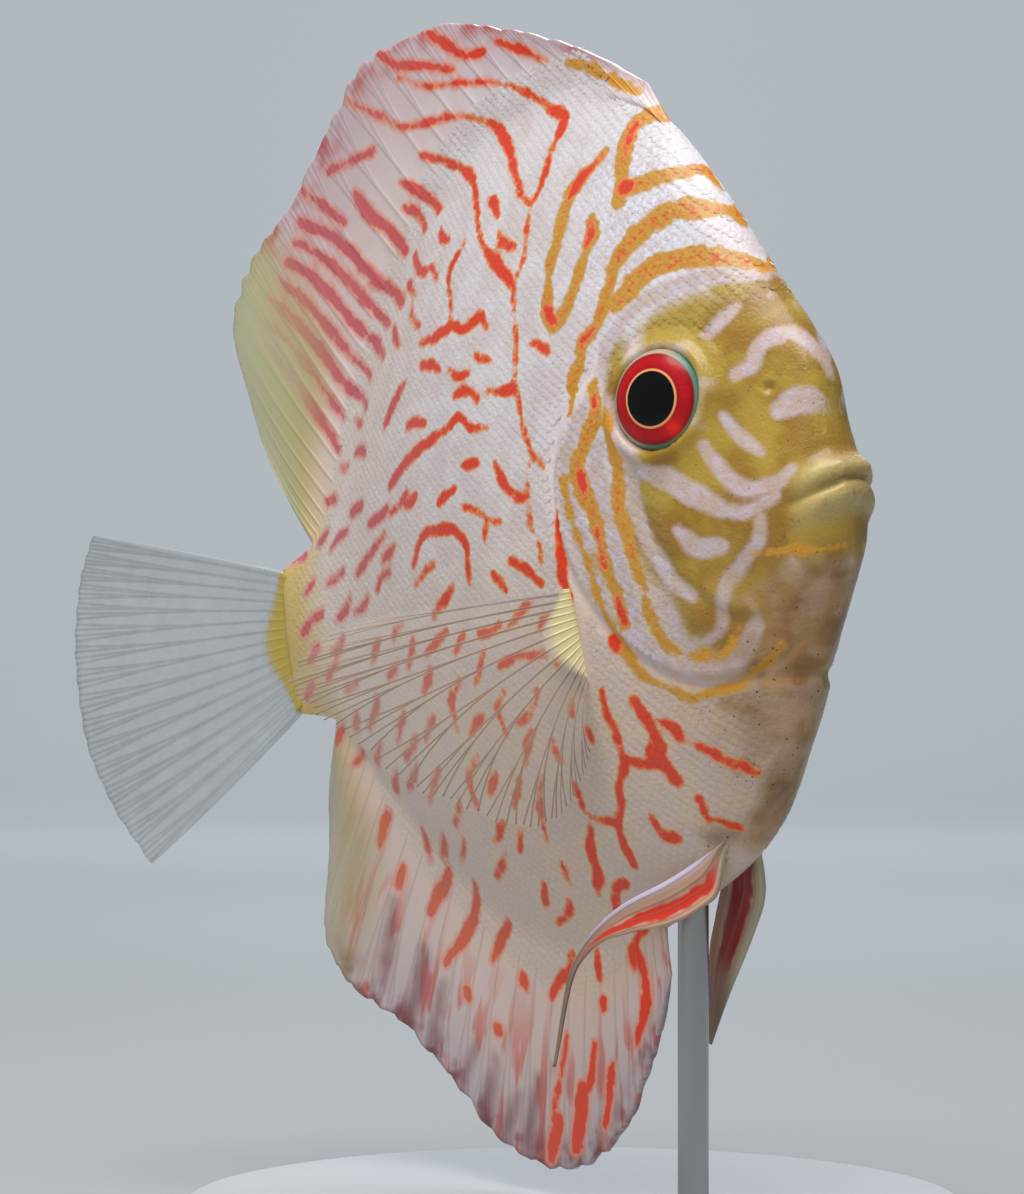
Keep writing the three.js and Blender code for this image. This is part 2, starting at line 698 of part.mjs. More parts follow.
function node(name, geometry, look) {
  const mesh = new THREE.Mesh(geometry, new THREE.MeshStandardMaterial(look));
  mesh.name = name;
  return mesh;
}

const part = (solid) => bendTail(geometryOf(solid));

const fish = new THREE.Group();
fish.applyMatrix4(fishPlace);

const lips = { upper_lip: UPPER_LIP, lower_lip: LOWER_LIP };
let head = plainBody.intersect(prism(headOutline, -WIDE, WIDE));
let trunk = plainBody.intersect(prism(trunkOutline, -WIDE, WIDE)).subtract(rodInFish);
for (const side of Object.values(SIDES)) {
  head = head.subtract(eyeball(side, GAP)).subtract(nostril(side)).subtract(gillRecess(side));
  trunk = trunk.subtract(gillRecess(side));
}
for (const points of Object.values(lips)) head = head.subtract(lip(points, GAP));

fish.add(node("head", part(head), finish.face));
fish.add(node("torso", part(trunk), finish.flank));
fish.add(node("tail_stalk", part(plainBody.intersect(prism(stalkOutline, -WIDE, WIDE))), finish.flank));
fish.add(node("upper_lip", part(lip(lips.upper_lip, 0)), finish.lip));
fish.add(node("lower_lip", part(lip(lips.lower_lip, 0)), finish.lip));
fish.add(node("dorsal_fin", part(dorsalFin()), finish.fin));
fish.add(node("anal_fin", part(analFin()), finish.fin));
fish.add(node("caudal_fin", part(caudalFin()), finish.clearFin));
for (const [name, side] of Object.entries(SIDES)) {
  fish.add(node(`eye_${name}`, part(eyeball(side, 0)), finish.eye));
  fish.add(node(`gill_cover_${name}`, part(gillCover(side)), finish.face));
  fish.add(node(`pectoral_fin_${name}`, part(pectoralFin(side)), finish.clearFin));
  fish.add(node(`pelvic_fin_${name}`, part(pelvicFin(name)), finish.fin));
}

const stand = new THREE.Group();
stand.add(node("stand_base", geometryOf(base()), finish.lacquer));
stand.add(node("stand_rod", rod(0), finish.steel));

const model = new THREE.Group();
model.add(fish, stand);

export default model;
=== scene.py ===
"""A discus fish as a life-size display model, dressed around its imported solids.

The fish is drawn in its own side view, in millimetres: "back" is the distance behind
the snout, "up" the height above the mouth, "out" the distance to the fish's left of
its middle plane. SideView.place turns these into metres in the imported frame.
"""

import logging
import math
from dataclasses import dataclass
from enum import Enum
from typing import Any, Callable, Sequence

import bmesh
import bpy
import numpy as np
from mathutils import Matrix, Vector


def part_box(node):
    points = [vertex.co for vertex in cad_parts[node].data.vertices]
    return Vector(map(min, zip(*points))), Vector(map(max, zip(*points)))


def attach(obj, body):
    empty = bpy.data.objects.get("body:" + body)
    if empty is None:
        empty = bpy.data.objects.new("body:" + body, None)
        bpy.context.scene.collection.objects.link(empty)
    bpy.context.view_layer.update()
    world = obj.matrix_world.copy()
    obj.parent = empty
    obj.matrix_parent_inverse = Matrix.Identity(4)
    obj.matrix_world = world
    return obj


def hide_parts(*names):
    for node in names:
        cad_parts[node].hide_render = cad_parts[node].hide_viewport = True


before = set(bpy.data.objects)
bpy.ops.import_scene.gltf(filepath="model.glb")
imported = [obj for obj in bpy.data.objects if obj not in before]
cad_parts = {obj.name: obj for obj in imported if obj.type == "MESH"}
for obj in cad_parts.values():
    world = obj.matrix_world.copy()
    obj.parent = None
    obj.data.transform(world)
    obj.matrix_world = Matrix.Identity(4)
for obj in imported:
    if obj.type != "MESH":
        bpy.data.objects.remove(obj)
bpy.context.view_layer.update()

MM = 0.001
LEFTWARDS = np.array([0, 1.0, 0])
LOG = logging.getLogger("discus")
Array = np.ndarray
Curve = Callable[[Any], Array]
Points = Sequence[Sequence[float]]
Strokes = Sequence[Sequence[Any]]
Piece = bpy.types.Object


def smooth_curve(points: Points) -> Curve:
    """Make a smooth function that passes through points and never overshoots them.

    Args:
        points: pairs of x and y, x rising.

    Returns:
        A function of x, held at its end values beyond the first and last point.
    """
    xs, ys = np.array(points, float).T
    step = np.diff(xs)
    slope = np.diff(ys) / step
    product = slope[:-1] * slope[1:]
    total = slope[:-1] + slope[1:]
    inner = np.where(product > 0, 2 * product / np.where(total == 0, 1, total), 0)
    tangent = np.concatenate([slope[:1], inner, slope[-1:]])

    def curve(x: Any) -> Array:
        """Return the value at x."""
        at = np.clip(x, xs[0], xs[-1])
        i = np.clip(np.searchsorted(xs, at) - 1, 0, len(xs) - 2)
        t = (at - xs[i]) / step[i]
        hermite = step[i] * t * (1 - t) * (tangent[i] * (1 - t) - tangent[i + 1] * t)
        return ys[i] + (ys[i + 1] - ys[i]) * t * t * (3 - 2 * t) + hermite

    return curve


def column_curves(rows: Points) -> list[Curve]:
    """Return one smooth function of a share from 0 to 1 for each column of rows."""
    spread = np.linspace(0, 1, len(rows))
    return [smooth_curve(list(zip(spread, column))) for column in zip(*rows)]


def bump(distance: Any, width: float = 1.0) -> Array:
    """Return a bell of height 1 over a distance."""
    return np.exp(-((np.asarray(distance) / width) ** 2))


def ease(value: Any, low: float, high: float) -> Array:
    """Return 0 below low and 1 above high, eased between, also where low is above high."""
    t = np.clip((np.asarray(value) - low) / (high - low), 0, 1)
    return t * t * (3 - 2 * t)


def oval(back: Any, up: Any, centre: Sequence[float], radii: Sequence[float]) -> Array:
    """Return the distance from a centre in the side view, counted so that it is 1 on an oval round it."""
    return np.hypot((back - centre[0]) / radii[0], (up - centre[1]) / radii[1])


def wave(value: Any, height: float, length: float, phase: float) -> Array:
    """Return a wave of a height over a value."""
    return height * np.sin(value / length + phase)


def linear(hex_colour: str) -> tuple[float, float, float, float]:
    """Turn an sRGB hex value into linear red, green, blue and alpha."""
    channels = [int(hex_colour[i : i + 2], 16) / 255 for i in (1, 3, 5)]
    curve = [c / 12.92 if c <= 0.04045 else ((c + 0.055) / 1.055) ** 2.4 for c in channels]
    return (*curve, 1.0)


@dataclass(frozen=True)
class SideView:
    """The fish's drawn frame, and its place over the stand."""

    pitch_deg: float = 10.8
    pivot_back: float = 58
    pivot_height: float = 94
    bend_start: float = 92
    bend: float = 0.0034

    def place(self, back: Any, up: Any, out: Any) -> Array:
        """Return world points in metres for points of the side view.

        Args:
            back: distance behind the snout in mm.
            up: height above the mouth in mm.
            out: distance to the fish's left of its middle plane in mm.

        Returns:
            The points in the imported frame.
        """
        back, up, out = np.broadcast_arrays(*(np.asarray(v, float) for v in (back, up, out)))
        x = self.pivot_back - back
        turn = math.radians(self.pitch_deg)
        return MM * np.stack(
            [
                x * math.cos(turn) - up * math.sin(turn),
                out - self.swing(back),
                x * math.sin(turn) + up * math.cos(turn) + self.pivot_height,
            ],
            axis=-1,
        )

    def direction(self, back: float, up: float, out: float) -> Array:
        """Return the world vector in metres of a step in the side view at the snout."""
        return self.place(back, up, out) - self.place(0, 0, 0)

    def swing(self, back: Any) -> Array:
        """Return how far the tail's swing carries a point to the fish's right."""
        return self.bend * np.maximum(np.asarray(back) - self.bend_start, 0) ** 2

    def unplace(self, world: Array, straight: bool = False) -> tuple[Array, Array, Array]:
        """Return back, up and out of world points.

        Args:
            world: points in metres.
            straight: leaves the tail's swing in.

        Returns:
            The three distances in mm.
        """
        x, y, z = np.moveaxis(np.asarray(world) / MM, -1, 0)
        z = z - self.pivot_height
        turn = math.radians(self.pitch_deg)
        back = self.pivot_back - (x * math.cos(turn) + z * math.sin(turn))
        up = z * math.cos(turn) - x * math.sin(turn)
        return back, up, y if straight else y + self.swing(back)


@dataclass(frozen=True)
class Eye:
    """Sizes and place of an eyeball."""

    back: float = 26.6
    up: float = 13.2
    radius: float = 6.5
    turn_deg: float = 16
    bulge: float = 2.6
    depth: float = 3.4


def polar_margin(
    points: Points, centre: tuple[float, float]
) -> Callable[[Any, Any], tuple[Array, Array]]:
    """Describe a curved line by its distance from a centre at each angle.

    Args:
        points: back and up of the line's points, in order round the centre.
        centre: back and up of the centre.

    Returns:
        A function of back and up giving the distance outside the line, and how fully
        the line is present at that angle, from 0 past its ends to 1.
    """
    back, up = np.array(points, float).T
    angle = np.unwrap(np.arctan2(up - centre[1], back - centre[0]))
    radius = np.hypot(back - centre[0], up - centre[1])
    order = np.argsort(angle)
    curve = smooth_curve(list(zip(angle[order], radius[order])))
    low, high = angle.min(), angle.max()

    def measure(at_back: Any, at_up: Any) -> tuple[Array, Array]:
        """Return distance outside the line and its presence."""
        turn = np.arctan2(np.asarray(at_up) - centre[1], np.asarray(at_back) - centre[0])
        turn = np.where(turn > high + 1.0, turn - 2 * np.pi, turn)
        turn = np.where(turn < low - 1.0, turn + 2 * np.pi, turn)
        reach = np.hypot(np.asarray(at_back) - centre[0], np.asarray(at_up) - centre[1])
        present = ease(turn, low - 0.05, low + 0.3) * ease(turn, high + 0.05, high - 0.25)
        return reach - curve(turn), present

    return measure


@dataclass(frozen=True)
class BodyForm:
    """The smooth body: its outline, widths and the folds of the head."""

    length: float = 118
    snout: float = 3.2
    snout_round: float = 0.4
    top_line: Points = (
        (3.6, 0.8), (4.4, 5), (5, 9), (6, 13), (8.8, 19), (14.6, 28.5), (21.6, 41),
        (28.8, 51.2), (37, 57.6), (47, 60.6), (60, 60), (74, 54.8), (86, 45),
        (96, 33), (104, 21.5), (110, 12.6), (118, 9.4),
    )
    bottom_line: Points = (
        (3.6, -2.4), (5, -7), (7.2, -12), (10.4, -17.5), (15.4, -25.4), (20.8, -34),
        (27.4, -42.2), (34.5, -46.6), (43, -49.6), (53, -52.4), (64, -53), (76, -49.6),
        (88, -40.8), (98, -30), (105.5, -20), (111, -13.8), (118, -11.6),
    )
    width_line: Points = (
        (3.6, 2.4), (6, 4.4), (10, 6), (16, 8), (24, 10.2), (34, 12.4), (46, 13.8), (58, 13.8),
        (74, 12), (90, 8.4), (102, 5.4), (110, 3.9), (118, 3),
    )
    middle_line: Points = ((3.6, -0.8), (10, 0), (24, 2), (44, -2), (80, -2), (118, -1))
    keel_above: Points = (
        (3.6, 0.5), (14, 0.56), (30, 0.78), (44, 0.96), (96, 0.96), (112, 0.6), (118, 0.6),
    )
    keel_below: Points = (
        (3.6, 0.5), (14, 0.6), (26, 0.52), (40, 0.62), (54, 0.92), (96, 0.94), (112, 0.6), (118, 0.6),
    )
    gill_margin: Points = (
        (35.5, 20), (41.5, 15), (44.6, 7.5), (44.4, -1), (40.6, -10.5), (35, -17.6),
        (27.6, -22.4), (19.5, -22.4), (13.4, -18.6),
    )
    cheek_line: Points = ((33.5, 14), (31.4, 5), (29.4, -4), (24.6, -12.4), (18.6, -16.8), (13.4, -17.4))
    mouth_start: tuple[float, float] = (3.4, -1.5)
    mouth_slope: float = -0.3
    mouth_corner: float = 9.6
    thin_from: float = 108
    scaled_base: float = 6.0
    base_half: float = 0.72
    base_taper: float = 0.05
    base_blend: float = 0.6
    top_base: tuple[float, float] = (33, 42)
    bottom_base: tuple[float, float] = (51, 58)
    rear_base: tuple[float, float] = (110, 102)

    def __post_init__(self) -> None:
        """Prepare the curves."""
        names = ("top_line", "bottom_line", "width_line", "middle_line", "keel_above", "keel_below")
        curves = {name: smooth_curve(getattr(self, name)) for name in names}
        object.__setattr__(self, "curves", curves)
        object.__setattr__(self, "gill", polar_margin(self.gill_margin, (26, -2)))
        object.__setattr__(self, "cheek", polar_margin(self.cheek_line, (17, 2)))

    def bluntness(self, back: Any) -> Array:
        """Return how far the snout's round end has opened, from 0 at its tip to 1."""
        return np.sqrt(np.clip((np.asarray(back) - self.snout) / self.snout_round, 0, 1))

    def limits(self, back: Any) -> tuple[Array, Array, Array]:
        """Return the lowest, widest and highest level of the section at back."""
        middle = self.curves["middle_line"](back)
        blunt = self.bluntness(back)
        low = middle - (middle - self.curves["bottom_line"](back)) * blunt
        high = middle + (self.curves["top_line"](back) - middle) * blunt
        return low, middle, high

    def head_folds(self, back: Any, up: Any) -> Array:
        """Return the broad swellings and hollows of the head, as in the solids.

        Args:
            back: distance behind the snout in mm.
            up: height above the mouth in mm.

        Returns:
            Their height in mm, below 0 in a hollow.
        """
        eye = Eye()
        orbit = 0.9 * bump(np.hypot(back - eye.back, up - eye.up) - eye.radius - 0.8, 1.7)
        cheek = 0.9 * bump(oval(back, up, (20, -6), (10, 9)))
        temple = -0.8 * bump(oval(back, up, (26, 30), (7, 9)))
        hollow = -0.7 * bump(oval(back, up, (11, 8), (4, 6)))
        return orbit + cheek + temple + hollow

    def half_width(self, back: Any, up: Any) -> Array:
        """Return the distance of the smooth skin from the middle plane.

        Args:
            back: distance behind the snout in mm.
            up: height above the mouth in mm.

        Returns:
            The distance in mm, 0 beyond the body's outline.
        """
        low, middle, high = self.limits(back)
        above = up >= middle
        reach = np.maximum(np.where(above, high - middle, middle - low), 1e-6)
        share = np.clip(np.abs(up - middle) / reach, 0, 1)
        keel = np.where(above, self.curves["keel_above"](back), self.curves["keel_below"](back))
        blunt = self.bluntness(back)
        plain = self.curves["width_line"](back) * blunt * (1 - share**2) ** keel
        fade = np.clip((1 - share) * 4, 0, 1) * blunt
        return np.maximum(plain + fade * self.head_folds(back, up), 0)

    def skin_width(self, back: Any, up: Any) -> Array:
        """Return the half width of the one skin, which thins into the tail fin's root."""
        end = np.clip((back - self.thin_from) / (self.length - self.thin_from), 0, 1)
        return self.half_width(back, up) * np.sqrt(1 - 0.9 * end**2)

    def fin_bases(self, back: Any) -> tuple[Array, Array]:
        """Return how far the scales reach up the dorsal fin and down the anal fin."""
        most = self.scaled_base * ease(back, 108, 98)
        return most * ease(back, 34, 46), most * ease(back, 52, 62)

    def coat_width(self, back: Any, up: Any) -> Array:
        """Return the half width of the body where it runs smoothly into a fin's base.

        Args:
            back: distance behind the snout in mm.
            up: height above the mouth in mm.

        Returns:
            The half width in mm.
        """
        low, middle, high = self.limits(back)
        past = np.maximum(np.maximum(up - high, low - up), 0)
        body, base = self.skin_width(back, up), self.base_half - self.base_taper * past
        soft = body + self.base_blend * np.logaddexp(0, (base - body) / self.base_blend)
        share = np.where(up > middle, ease(back, *self.top_base), ease(back, *self.bottom_base))
        hard = np.maximum(body, base)
        return hard + (soft - hard) * share * ease(back, *self.rear_base)

    def mouth_level(self, back: Array, up: Array) -> Array:
        """Return the height above the line between the lips."""
        return up - self.mouth_start[1] - self.mouth_slope * (back - self.mouth_start[0])

    def fine_relief(self, back: Array, up: Array) -> Array:
        """Return how far lips, gill cover, sockets and nostrils stand out of the skin.

        Args:
            back: distance behind the snout in mm.
            up: height above the mouth in mm.

        Returns:
            The height in mm, below 0 where the skin sinks.
        """
        level = self.mouth_level(back, up)
        near = ease(back, self.mouth_corner + 1.6, self.mouth_corner - 3.4)
        lips = 0.7 * bump(level - 1.9, 1.5) + 0.6 * bump(level + 1.7, 1.4)
        slit = -0.9 * bump(level, 0.5) - 0.2 * bump(level - 4.8, 1.3) - 0.15 * bump(level + 4.2, 1.2)
        bridge = -1.1 * bump(oval(back, up, (5.4, 6), (3, 5))) - 0.5 * ease(back, 8, 4)
        corner = -0.35 * bump(np.hypot(back - self.mouth_corner, level), 1.1)
        fold = 0.35 * ease(up, -23.6, -25.4) - 0.45 * bump(up + 23.8 - 0.15 * (back - 17), 0.8)
        throat = fold * ease(back, 23, 18)
        outside, present = self.gill(back, up)
        cover = 0.5 * ease(outside, 0.3, -0.9) * ease(outside, -16, -7)
        slot = -0.45 * bump(outside - 0.6, 0.6)
        beyond, there = self.cheek(back, up)
        crease = -0.22 * bump(beyond, 0.9) + 0.14 * bump(beyond + 2, 1.4)
        eye = Eye()
        ring = np.hypot(back - eye.back, up - eye.up)
        socket = -2.4 * ease(ring, 6.6, 5.2) + 0.35 * bump(ring - 7.1, 0.6) - 0.2 * bump(ring - 8.4, 0.6)
        from_nostril = np.hypot(back - 11.8, up - 11.6)
        nostril = -0.6 * bump(from_nostril, 0.6) + 0.12 * bump(from_nostril - 1.1, 0.5)
        brow_line = -0.25 * bump(np.hypot(back - 26.6, up - 12) - 10.6, 0.7) * ease(up, 16, 22)
        armpit = -0.7 * bump(oval(back, up, (45.4, -13), (1.3, 6)))
        gills = near * (lips + slit) + corner + present * (cover + slot) + there * crease
        return gills + socket + nostril + throat + bridge + brow_line + armpit


@dataclass(frozen=True)
class PhotoCamera:
    """The camera's place, fitted to the photograph's landmarks on the fish."""

    view: SideView
    azimuth_deg: float = 49.756
    distance: float = 550
    focal_px: float = 4121
    aside: float = -6.84
    above: float = -5.63
    width_px: int = 1024
    height_px: int = 1194
    target_back: float = 60
    film_mm: float = 36
    nearest: float = 0.01
    rounds: int = 24
    first_out: float = -9.0

    def axes(self) -> tuple[Array, Array, Array]:
        """Return the camera's right, up and backward directions."""
        turn = math.radians(self.azimuth_deg)
        right = np.array([math.cos(turn), math.sin(turn), 0])
        backward = np.array([math.sin(turn), -math.cos(turn), 0])
        return right, np.array([0, 0, 1.0]), backward

    def place(self) -> Array:
        """Return the camera's place in metres."""
        right, up, backward = self.axes()
        target = self.view.place(self.target_back, 0, 0)
        return target + MM * (backward * self.distance + right * self.aside + up * self.above)

    def build(self) -> None:
        """Set up the scene's camera."""
        right, up, backward = self.axes()
        data = bpy.data.cameras.new("photo_camera")
        data.sensor_width = self.film_mm
        data.lens = self.focal_px * self.film_mm / self.height_px
        data.clip_start = self.nearest
        camera = bpy.data.objects.new("photo_camera", data)
        turn = Matrix([[right[i], up[i], backward[i]] for i in range(3)]).to_4x4()
        camera.matrix_world = Matrix.Translation(Vector(self.place())) @ turn
        bpy.context.scene.collection.objects.link(camera)
        bpy.context.scene.camera = camera

    def cast(self, pixels: Points, form: BodyForm) -> Array:
        """Carry points of the photograph onto the fish's right side.

        Args:
            pixels: x and y in the photograph's frame.
            form: the body that they land on, or its middle plane past its edge.

        Returns:
            An array of back and up.
        """
        right, up, backward = self.axes()
        px = np.array(pixels, float)
        ray = (
            (px[:, :1] - self.width_px / 2) * right
            + (self.height_px / 2 - px[:, 1:]) * up
            - self.focal_px * backward
        )
        start = np.stack(self.view.unplace(self.place(), straight=True))
        far = np.stack(self.view.unplace(self.place() + ray * MM, straight=True), axis=-1) - start
        out = np.full(len(px), self.first_out)
        for _ in range(self.rounds):
            t = (out - start[2]) / far[:, 2]
            back, high = start[0] + far[:, 0] * t, start[1] + far[:, 1] * t
            out = 0.5 * out - 0.5 * (form.half_width(back, high) + self.view.swing(back))
        return np.stack([back, high], axis=-1)


class Mark(Enum):
    """The kinds of marking on the skin."""

    RED = "red"
    AMBER = "amber"
    OCHRE = "ochre"
    PALE = "pale"
    UMBER = "umber"
    WINE = "wine"


# Strokes as seen in the photograph, of each kind: the width in mm, then x, y pixels along it.
RED_STROKES: Strokes = (
    (0.9, (402, 77), (431, 87), (463, 83), (500, 83), (530, 93), (548, 104), (560, 117)),
    (2.1, (552, 110), (566, 118), (560, 134)),
    (1.2, (560, 130), (551, 155), (543, 182), (532, 203)),
    (1.1, (341, 98), (371, 110), (402, 126), (422, 126), (453, 117), (480, 119), (497, 124)),
    (1.5, (480, 120), (497, 124), (507, 138), (513, 163), (519, 188), (531, 204)),
    (0.9, (531, 204), (528, 225), (526, 248), (521, 268), (514, 283)),
    (1.4, (426, 155), (447, 161), (463, 167), (474, 182), (477, 204), (481, 234), (490, 256)),
    (1.8, (488, 252), (500, 268), (514, 284)),
    (1.0, (514, 283), (515, 310), (517, 345), (515, 376), (519, 395), (523, 426)),
    (1.8, (489, 391), (503, 391), (516, 388)),
    (1.0, (523, 426), (532, 452), (545, 469)),
    (0.8, (531, 455), (528, 484), (529, 500), (530, 520), (541, 550), (542, 582)),
    (1.6, (495, 462), (504, 484), (516, 495), (527, 498)),
    (1.5, (542, 584), (528, 569), (511, 560)),
    (1.8, (493, 572), (506, 591)),
    (1.5, (558, 512), (558, 548), (563, 582), (569, 597)),
    (1.6, (421, 343), (434, 338), (452, 327), (465, 329), (480, 317), (487, 328)),
    (1.2, (465, 244), (449, 276), (451, 300), (452, 326)),
    (1.9, (391, 486), (408, 460), (430, 441), (447, 430)),
    (1.3, (447, 430), (459, 416), (473, 428), (486, 427)),
    (1.5, (414, 566), (426, 534), (452, 530), (467, 549), (471, 584)),
    (1.3, (463, 506), (482, 513)),
    (1.2, (485, 540), (488, 520), (502, 522)),
    (1.7, (385, 426), (394, 405), (405, 384)),
    (2.0, (352, 512), (362, 506)),
    (1.6, (358, 574), (366, 562), (385, 534)),
    (1.7, (406, 183), (431, 196), (441, 210)),
    (1.6, (378, 151), (358, 160), (330, 172)),
    (2.2, (359, 195), (371, 212), (398, 234), (411, 251)),
    (2.2, (300, 222), (337, 238), (357, 255), (382, 281), (404, 303)),
    (2.1, (288, 262), (312, 275), (337, 300), (360, 325), (384, 357)),
    (2.0, (275, 300), (300, 325), (326, 354), (348, 382), (367, 406)),
    (1.7, (270, 345), (298, 380), (326, 421), (343, 450)),
    (1.5, (300, 190), (325, 205), (348, 222)),
    (1.7, (296, 242), (322, 256), (346, 275), (370, 302), (390, 326)),
    (1.6, (282, 281), (306, 300), (330, 326), (353, 354), (372, 378)),
    (1.5, (272, 322), (298, 350), (324, 385), (348, 418)),
    (1.4, (330, 110), (318, 130), (306, 150)),
    (1.5, (380, 52), (400, 66), (428, 66), (455, 70)),
    (1.6, (428, 32), (443, 42), (469, 56), (486, 52)),
    (1.3, (500, 42), (525, 50), (548, 60)),
    (1.7, (603, 157), (594, 166), (580, 181), (570, 199)),
    (1.6, (546, 310), (554, 322)),
    (1.5, (586, 250), (592, 232), (591, 222)),
    (1.1, (598, 325), (584, 341), (582, 350)),
    (1.6, (637, 124), (629, 138), (626, 152)),
    (2.2, (622, 186), (630, 186)),
    (1.1, (596, 395), (597, 408)),
    (1.3, (583, 470), (588, 492)),
    (1.2, (600, 524), (604, 552), (609, 566)),
    (1.5, (621, 598), (629, 622)),
    (1.8, (611, 638), (616, 648)),
    (1.5, (603, 690), (607, 712), (618, 738), (625, 760), (620, 786), (622, 806), (618, 822)),
    (1.6, (618, 822), (625, 844), (634, 864)),
    (1.4, (618, 822), (596, 820), (583, 805), (575, 783)),
    (1.6, (591, 822), (592, 853), (598, 874), (598, 892)),
    (1.9, (635, 701), (648, 721), (660, 746), (650, 764), (627, 760)),
    (2.4, (652, 752), (664, 764), (679, 782)),
    (1.7, (662, 722), (674, 728), (684, 741)),
    (1.2, (692, 742), (713, 753), (735, 768)),
    (1.3, (700, 798), (709, 820)),
    (1.6, (653, 818), (661, 833), (680, 838)),
    (1.4, (572, 703), (572, 716)),
    (1.5, (586, 728), (594, 743)),
    (1.5, (553, 740), (562, 762)),
    (1.2, (544, 777), (540, 800), (546, 838)),
    (1.4, (562, 863), (570, 882)),
    (1.3, (500, 665), (520, 657), (545, 655)),
    (1.3, (505, 690), (498, 712), (508, 735)),
    (1.3, (460, 680), (452, 705), (458, 730)),
    (1.4, (478, 756), (470, 785), (478, 806)),
    (1.4, (520, 780), (515, 808)),
    (1.4, (440, 770), (430, 800)),
    (1.8, (578, 954), (573, 971), (561, 983), (556, 996)),
    (1.5, (602, 951), (602, 965), (604, 979)),
    (2.2, (638, 948), (638, 966)),
    (1.9, (647, 922), (641, 946), (647, 971), (650, 996), (645, 1026), (641, 1042)),
    (1.6, (607, 998), (608, 1011)),
    (1.4, (570, 1036), (567, 1057), (561, 1082), (556, 1112), (558, 1149)),
    (1.4, (599, 1045), (595, 1072), (589, 1094)),
    (2.8, (586, 1088), (582, 1118), (576, 1149)),
    (2.0, (616, 1063), (613, 1094), (607, 1125)),
    (2.6, (561, 1118), (552, 1158)),
    (2.6, (454, 873), (444, 894), (435, 910)),
    (2.2, (477, 885), (478, 916), (466, 940), (450, 962)),
    (2.1, (512, 922), (506, 940), (497, 959)),
    (1.9, (526, 974), (530, 989)),
    (2.2, (470, 990), (474, 1000)),
    (1.8, (500, 1026), (505, 1033)),
    (2.2, (392, 814), (383, 842)),
    (1.6, (521, 830), (521, 851)),
    (1.6, (545, 885), (546, 902)),
    (2.0, (407, 868), (402, 884)),
    (1.2, (690, 744), (722, 756), (758, 772)),
    (1.2, (718, 820), (740, 828)),
    (1.4, (415, 640), (408, 668)),
    (1.4, (380, 640), (372, 662)),
    (1.4, (405, 715), (398, 742)),
    (1.4, (425, 830), (436, 860)),
)
AMBER_STROKES: Strokes = (
    (1.6, (572, 62), (590, 68), (612, 78), (640, 92)),
    (2.5, (604, 156), (594, 166), (580, 181), (569, 200), (561, 229), (553, 256), (548, 290)),
    (2.4, (548, 290), (546, 312), (554, 326), (563, 315), (572, 296), (580, 270), (588, 248)),
    (2.6, (587, 250), (593, 232), (592, 219)),
    (2.3, (614, 262), (610, 285), (604, 302), (597, 327), (585, 343), (579, 363), (572, 388), (571, 410)),
    (2.8, (672, 116), (656, 114), (639, 121), (629, 135), (624, 158), (622, 185), (619, 203)),
    (2.6, (622, 188), (643, 184), (671, 176), (697, 171), (719, 177), (738, 192)),
    (3.3, (612, 270), (625, 249), (645, 230), (671, 213), (697, 209), (729, 211), (752, 220)),
    (3.4, (616, 305), (631, 287), (652, 269), (681, 259), (719, 258), (762, 265)),
    (1.1, (752, 556), (785, 550), (820, 549), (856, 545)),
    (2.7, (594, 386), (599, 410), (588, 443), (581, 473), (588, 494), (599, 520), (605, 549), (612, 572)),
    (2.1, (612, 572), (622, 598), (629, 624)),
    (2.1, (606, 412), (616, 455), (621, 504), (633, 545), (646, 590), (661, 634), (680, 652)),
    (2.0, (680, 652), (703, 656), (724, 652), (740, 631)),
    (1.3, (565, 480), (572, 510), (590, 560), (607, 612), (622, 648), (650, 680), (692, 698)),
    (1.6, (692, 698), (724, 690), (757, 673), (780, 648)),
)
OCHRE_STROKES: Strokes = (
    (6, (720, 292), (748, 290), (775, 285), (790, 300)),
    (8, (655, 332), (690, 322), (735, 322), (775, 315), (800, 322)),
    (14, (720, 350), (770, 350), (815, 350), (825, 385)),
    (16, (735, 410), (790, 420), (840, 430), (850, 470)),
    (16, (665, 475), (710, 480), (770, 490), (830, 520)),
    (14, (655, 520), (690, 545), (730, 550), (760, 535)),
    (9, (690, 590), (715, 620), (745, 630)),
    (3, (752, 580), (765, 610), (760, 645)),
    (0.8, (834, 585), (832, 605), (827, 635), (822, 660)),
    (5, (612, 350), (616, 372), (622, 400)),
)
